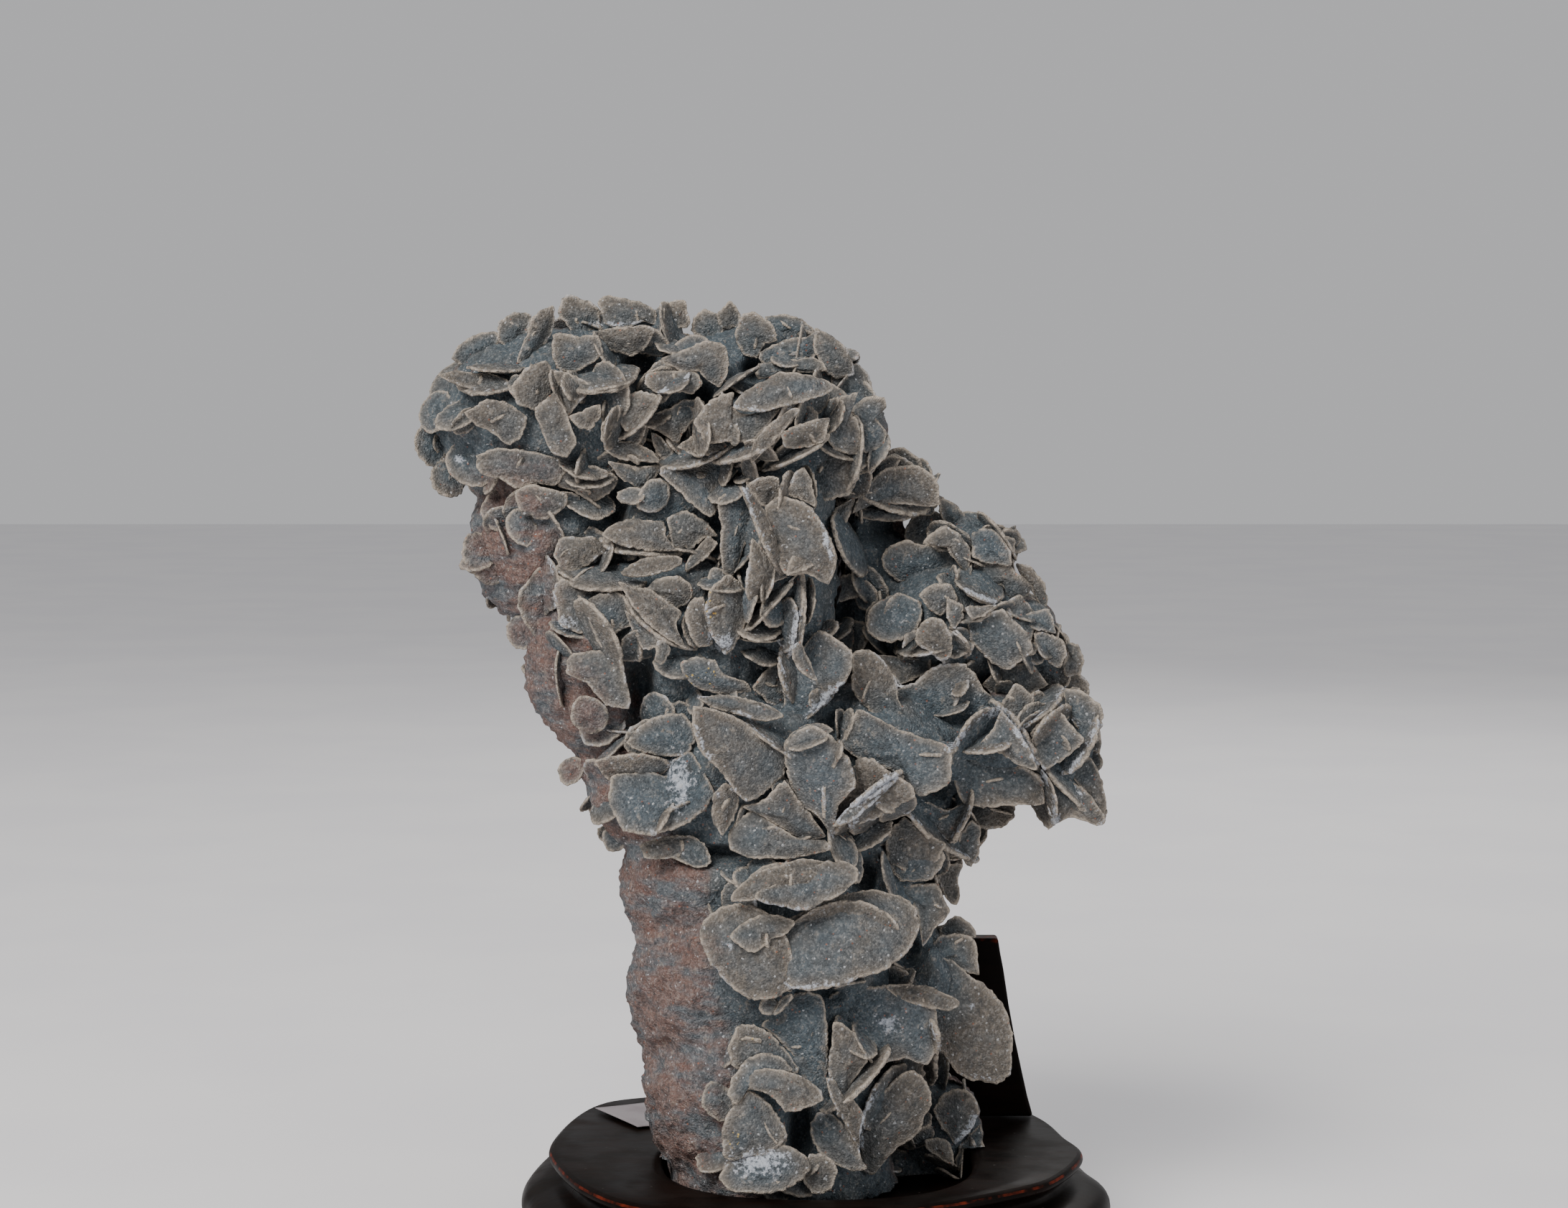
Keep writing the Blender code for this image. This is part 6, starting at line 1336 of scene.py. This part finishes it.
def lacquerMaterial(name, roughness):
    paint = Paint(name)
    c = lacquerLook
    where = paint.node("ShaderNodeTexCoord", {}, {}, output="Object")
    stretched = paint.node("ShaderNodeMapping", {}, {"Vector": where, "Scale": (0.25, 1.0, 1.0)})
    grain = paint.grain(stretched, 420.0, 4.0, 0.65)
    cloud = paint.grain(where, 60.0, 3.0)
    wearAndSheen = paint.number("wearAndSheen")
    colour = paint.mix(paint.between(grain * 0.6 + cloud * 0.5, 0.40, 0.75), c["dark"], c["brown"])
    # Reddish where the lacquer is rubbed through and as a painted highlight along the bands that catch the light.
    sheenAndScuff = paint.between(wearAndSheen + (paint.grain(where, 330.0, 4.0) - 0.5) * 0.9, 0.66, 0.98)
    colour = paint.mix(sheenAndScuff * 0.7, colour, c["wearAndSheen"])
    specks = ((1 - paint.between(paint.cells(where, 640.0), 0.10, 0.22))
              * paint.between(paint.cells(where, 640.0, "Color"), 0.80, 0.84))
    dusty = paint.between(paint.grain(where, 95.0, 4.0), 0.42, 0.72)
    normal = paint.node("ShaderNodeNewGeometry", output="Normal")
    up = paint.between(paint.node("ShaderNodeSeparateXYZ", {}, {0: normal}, output=2), 0.6, 0.9)
    dust = specks * up * (0.35 + dusty * 0.5)
    colour = paint.mix(dust, colour, c["dust"])
    colour = paint.mix(dusty * up * 0.05, colour, c["dust"])
    height = grain * 0.35 + cloud * 0.6 + specks * 0.8
    bump = paint.node("ShaderNodeBump", {}, {"Strength": 1.0, "Distance": 0.00012, "Height": height})
    return paint.finish({
        "Base Color": colour, "Roughness": roughness + dusty * 0.18 + (grain - 0.5) * 0.12 + dust * 0.3,
        "Normal": bump, "Coat Weight": c["coat"] * (1 - sheenAndScuff * 0.6 - dust * 0.6),
        "Coat Roughness": c["coatRoughness"], "IOR": 1.5, "Specular IOR Level": c["specular"],
    })


def paperMaterial():
    paint = Paint("paper_look")
    where = paint.node("ShaderNodeTexCoord", {}, {}, output="Object")
    fibre, cloud = paint.grain(where, 1500.0, 4.0, 0.7), paint.grain(where, 120.0, 3.0)
    colour = paint.mix(paint.between(cloud, 0.35, 0.7), (0.245, 0.222, 0.233), (0.195, 0.172, 0.183))
    colour = paint.mix((1 - paint.between(fibre, 0.3, 0.5)) * 0.25, colour, (0.16, 0.145, 0.15))
    bump = paint.node("ShaderNodeBump", {}, {"Strength": 0.5, "Distance": 0.0001, "Height": fibre})
    return paint.finish({"Base Color": colour, "Roughness": 0.82 - fibre * 0.06, "Normal": bump})


def floorMaterial():
    paint = Paint("pale_floor")
    where = paint.node("ShaderNodeTexCoord", {}, {}, output="Object")
    cloth = paint.grain(where, 12.0, 3.0)
    colour = paint.mix(paint.between(cloth, 0.35, 0.65), (0.77, 0.76, 0.78), (0.80, 0.79, 0.80))
    return paint.finish({"Base Color": colour, "Roughness": 0.9})


# The stone: ground mass and crystals, in pieces by where they sit.
jitter = random.Random(stoneLook["cadSeed"])
front = [facing(*row, jitter) for row in frontCrystals]
front = [c for c in front if not any(within(*c["seen"], row) for row in leafPlates) and not covers(c)]
back = backCrystals(jitter, stoneLook["backCount"])
rng = np.random.default_rng(5)
leaves = [leaf(row) for row in leafPlates]
edged = [blade(row, 900 + i) for i, row in enumerate(blades)]
fill = [c for c in scattered(rng, stoneLook["fillCount"], front + leaves, False) if not covers(c)]
through = [c for c in crossed(front, rng, stoneLook["freePlates"], 0.6) if not covers(c)]
through += crossed([c for c in leaves if c["halfLength"] > 3.5], rng, stoneLook["freePlates"], 0.66, 0.62)
behind = scattered(rng, stoneLook["backFillCount"], [], True)
print("crystals:", len(front), "front,", len(leaves), "traced,", len(edged), "on edge,",
      len(fill), "fill,", len(behind) + len(back), "back")

zones = [
    ("head_crystals", lambda a, u: u > 22 and a < -30),
    ("crown_crystals", lambda a, u: u > 28 and a < 21),
    ("right_crystals", lambda a, u: u > -16 and a > 17),
    ("column_crystals", lambda a, u: u > -13 and a > -33),
    ("flank_crystals", lambda a, u: a < -33 or (u > -30 and a < -20)),
    ("arm_crystals", lambda a, u: u > -60 and a > 27),
    ("middle_crystals", lambda a, u: u > -57),
    ("lower_crystals", lambda a, u: u > -95),
    ("foot_crystals", lambda a, u: True),
]
groups = {name: [] for name, _ in zones}
groups["back_crystals"] = []
for crystals, spacing in ((front, "frontSpacing"), (leaves, "frontSpacing"), (edged, "bladeSpacing"),
                          (through, "bladeSpacing"), (fill, "fillSpacing")):
    for crystal in crystals:
        name = next(name for name, inside in zones if inside(*crystal["seen"]))
        groups[name].append(shapedCrystal(crystal, stoneLook[spacing], rng))
for crystal in back + behind:
    groups["back_crystals"].append(shapedCrystal(crystal, stoneLook["backSpacing"], rng))

gypsum = gypsumMaterial()
stonePieces = [crystalPiece(name, forms, rng) for name, forms in groups.items()]
stonePieces.append(groundMass(rng))
for piece in stonePieces:
    piece.data.materials.append(gypsum)
    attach(piece, "root")
    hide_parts("sand_rose")
    piece.data.calc_loop_triangles()
    print(piece.name, len(piece.data.loop_triangles), "triangles")


# The stand.
def smoothLoop(corners, steps):
    line, count = [], len(corners)
    spots = [np.array(c) for c in corners]
    for i in range(count):
        a, b, c, d = (spots[(i + k) % count] for k in (-1, 0, 1, 2))
        for step in range(steps):
            line.append(throughFour(a, b, c, d, step / steps))
    return np.array(line)


def standPiece():
    line = smoothLoop(stand["outline"], 10)
    count = len(line)
    way = np.roll(line, -1, axis=0) - np.roll(line, 1, axis=0)
    way /= np.linalg.norm(way, axis=1)[:, None]
    outward = np.stack([-way[:, 1], way[:, 0]], axis=1)
    if (outward * line).sum() < 0:
        outward = -outward
    # Profile from the foot up to the rim, rounded through its corners, then the top and the socket.
    rows = np.array(stand["moulding"][::-1])
    profile = []
    for i in range(len(rows) - 1):
        a, b, c, d = rows[max(i - 1, 0)], rows[i], rows[i + 1], rows[min(i + 2, len(rows) - 1)]
        for share in np.arange(5) / 5:
            profile.append(throughFour(a, b, c, d, share))
    profile.append(rows[-1])
    low = stand["height"] - stand["socketDepth"]
    rings, wearAndSheen = [], []
    for height, step in profile:
        rings.append(np.column_stack([line + outward * step, np.full(count, height)]))
        # Wear and painted highlight: reddish bands on the rim's edge and on the crest of the lower tier.
        wearAndSheen.append(0.78 if 20.9 < height < 21.6 else 0.40 if 11.5 < height < 13.5 else 0.0)
    angle = np.arctan2(line[:, 1] - stand["socketMiddle"][1], line[:, 0] - stand["socketMiddle"][0])
    mouth = []
    for at in angle:
        x, y = math.cos(at), math.sin(at)
        share = (abs(x / stand["socketHalf"][0]) ** 2.5 + abs(y / stand["socketHalf"][1]) ** 2.5) ** -0.4
        mouth.append((stand["socketMiddle"][0] + x * share, stand["socketMiddle"][1] + y * share))
    mouth = np.array(mouth)
    inner = np.array(stand["socketMiddle"])
    edgeLine = rings[-1][:, :2]
    top = stand["height"]
    inward = (
        (0.3, top, 0), (0.6, top, 0), (0.88, top, 0), (1.0, 21.85, 0.5), (1.0, 21.3, 0.0), (1.0, 19.0, 0.0),
        (1.0, low, 0.0),
    )
    for share, height, grown in inward:
        ring = edgeLine * (1 - share) + (inner + (mouth - inner) * (1 + grown / stand["socketHalf"][0])) * share
        rings.append(np.column_stack([ring, np.full(count, height)]))
        # Wear and painted highlight along the socket's edge.
        wearAndSheen.append(0.3 if height == 21.85 else 0.0)
    points = np.concatenate(rings)
    quads = []
    for level in range(len(rings) - 1):
        here = level * count + np.arange(count)
        there = level * count + (np.arange(count) + 1) % count
        quads.append(np.stack([here, there, there + count, here + count], axis=1))
    middles = np.array([(0.0, 0.0, 0.0), (*stand["socketMiddle"], low)])
    foot, last = np.arange(count), (len(rings) - 1) * count + np.arange(count)
    total = len(points)
    tris = np.concatenate([
        np.stack([np.roll(foot, -1), foot, np.full(count, total)], axis=1),
        np.stack([last, np.roll(last, -1), np.full(count, total + 1)], axis=1),
    ])
    quads = np.concatenate(quads)
    area = (line[:, 0] * np.roll(line[:, 1], -1) - np.roll(line[:, 0], -1) * line[:, 1]).sum()
    if area < 0:
        tris, quads = tris[:, ::-1], quads[:, ::-1]
    made = meshFrom("stand_body", np.concatenate([points, middles]), tris, quads)
    setNumbers(made.data, "wearAndSheen", np.concatenate([np.repeat(wearAndSheen, count), [0, 0]]))
    return made


standBody = standPiece()
standBody.data.materials.append(lacquerMaterial("stand_lacquer_look", 0.36))
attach(standBody, "root")
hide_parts("stand")
print("stand made")

# The board behind the stone.
board = {
    "front": 27.5, "thickness": 5.0, "middle": 34.5, "bottom": 22.3,
    "edge": [(14.4, 0.0), (13.1, 4.6), (11.9, 10.0), (10.3, 17.4), (8.8, 25.4), (7.6, 33.3), (6.8, 37.4), (6.3, 40.6)],
}


def boardPiece():
    outline = board["edge"] + [(-x, z) for x, z in reversed(board["edge"])]
    shape = bmesh.new()
    ring = [
        shape.verts.new(((board["middle"] + x) * mm, board["front"] * mm, (board["bottom"] + z) * mm))
        for x, z in outline
    ]
    face = shape.faces.new(ring)
    grown = bmesh.ops.extrude_face_region(shape, geom=[face])
    moved = [v for v in grown["geom"] if isinstance(v, bmesh.types.BMVert)]
    bmesh.ops.translate(shape, verts=moved, vec=(0, board["thickness"] * mm, 0))
    bmesh.ops.recalc_face_normals(shape, faces=shape.faces)
    sharp = [e for e in shape.edges if e.is_manifold and e.calc_face_angle(0) > 0.6]
    bmesh.ops.bevel(shape, geom=sharp, offset=0.7 * mm, segments=3, profile=0.5, affect="EDGES")
    mesh = bpy.data.meshes.new("board_body")
    shape.to_mesh(mesh)
    shape.free()
    made = bpy.data.objects.new("board_body", mesh)
    bpy.context.scene.collection.objects.link(made)
    heights = np.array([v.co.z / mm for v in mesh.vertices])
    # Wear and painted highlight on the board's top, a little wear on the rest.
    setNumbers(mesh, "wearAndSheen", np.where(heights > board["bottom"] + 39.3, 0.75, 0.12))
    return made


boardBody = boardPiece()
boardBody.data.materials.append(lacquerMaterial("board_lacquer_look", 0.36))
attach(boardBody, "root")
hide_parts("back_post")
print("board made")

# The paper slip.
slip = {"corner": (-50.0, 33.5), "turn": 31.5, "length": 22.0, "width": 20.0, "height": 22.3, "curl": 0.45}


def slipPiece():
    turn = math.radians(slip["turn"])
    along, across = np.array((math.cos(turn), math.sin(turn))), np.array((math.sin(turn), -math.cos(turn)))
    shape = bmesh.new()
    bmesh.ops.create_grid(shape, x_segments=16, y_segments=14, size=1.0)
    for v in shape.verts:
        s, t = (v.co.x + 1) / 2, (v.co.y + 1) / 2
        flat = np.array(slip["corner"]) + along * slip["length"] * s + across * slip["width"] * t
        lift = slip["curl"] * max(0.0, 1 - s * 1.6) ** 2 + 0.12 * math.sin(s * 5 + t * 3) * 0.4 + 0.05
        v.co = (flat[0] * mm, flat[1] * mm, (slip["height"] + lift) * mm)
    mesh = bpy.data.meshes.new("label_slip")
    shape.to_mesh(mesh)
    shape.free()
    made = bpy.data.objects.new("label_slip", mesh)
    bpy.context.scene.collection.objects.link(made)
    thick = made.modifiers.new("thick", "SOLIDIFY")
    thick.thickness, thick.offset = 0.16 * mm, 0
    for face in mesh.polygons:
        face.use_smooth = True
    return made


labelSlip = slipPiece()
labelSlip.data.materials.append(paperMaterial())
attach(labelSlip, "root")
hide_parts("paper_label")
print("slip made")

# Floor, light and camera.
studio = {"floorSize": 6.0, "key": 18.0, "fill": 1.9, "rim": 3.1, "world": 0.55, "worldColour": (0.90, 0.90, 0.92)}
bpy.ops.mesh.primitive_plane_add(size=studio["floorSize"], location=(0, 0, -0.0002))
floor = bpy.context.object
floor.name = "floor"
floor.data.materials.append(floorMaterial())

world = bpy.data.worlds.new("studio")
bpy.context.scene.world = world
world.use_nodes = True
sky = world.node_tree.nodes["Background"]
sky.inputs["Color"].default_value = (*studio["worldColour"], 1.0)
sky.inputs["Strength"].default_value = studio["world"]


def softLight(name, place, energy, size, colour):
    light = bpy.data.lights.new(name, "AREA")
    light.energy, light.size, light.color = energy, size, colour
    made = bpy.data.objects.new(name, light)
    made.location = place
    made.rotation_euler = (Vector((0, 0, 0.11)) - Vector(place)).to_track_quat("-Z", "Y").to_euler()
    bpy.context.scene.collection.objects.link(made)


softLight("key", (-0.5, -0.8, 0.95), studio["key"], 0.55, (1.0, 0.97, 0.93))
softLight("fill", (0.85, -0.6, 0.45), studio["fill"], 0.7, (0.92, 0.96, 1.0))
softLight("rim", (0.3, 0.8, 0.7), studio["rim"], 0.6, (1.0, 0.98, 0.95))

lens = bpy.data.cameras.new("camera")
lens.lens, lens.sensor_width, lens.sensor_fit = sight["lens"], sight["sensor"], "HORIZONTAL"
camera = bpy.data.objects.new("camera", lens)
camera.location = tuple(eye * mm)
camera.rotation_euler = (math.radians(90 - sight["pitch"]), 0, 0)
bpy.context.scene.collection.objects.link(camera)
bpy.context.scene.camera = camera
print("studio ready")
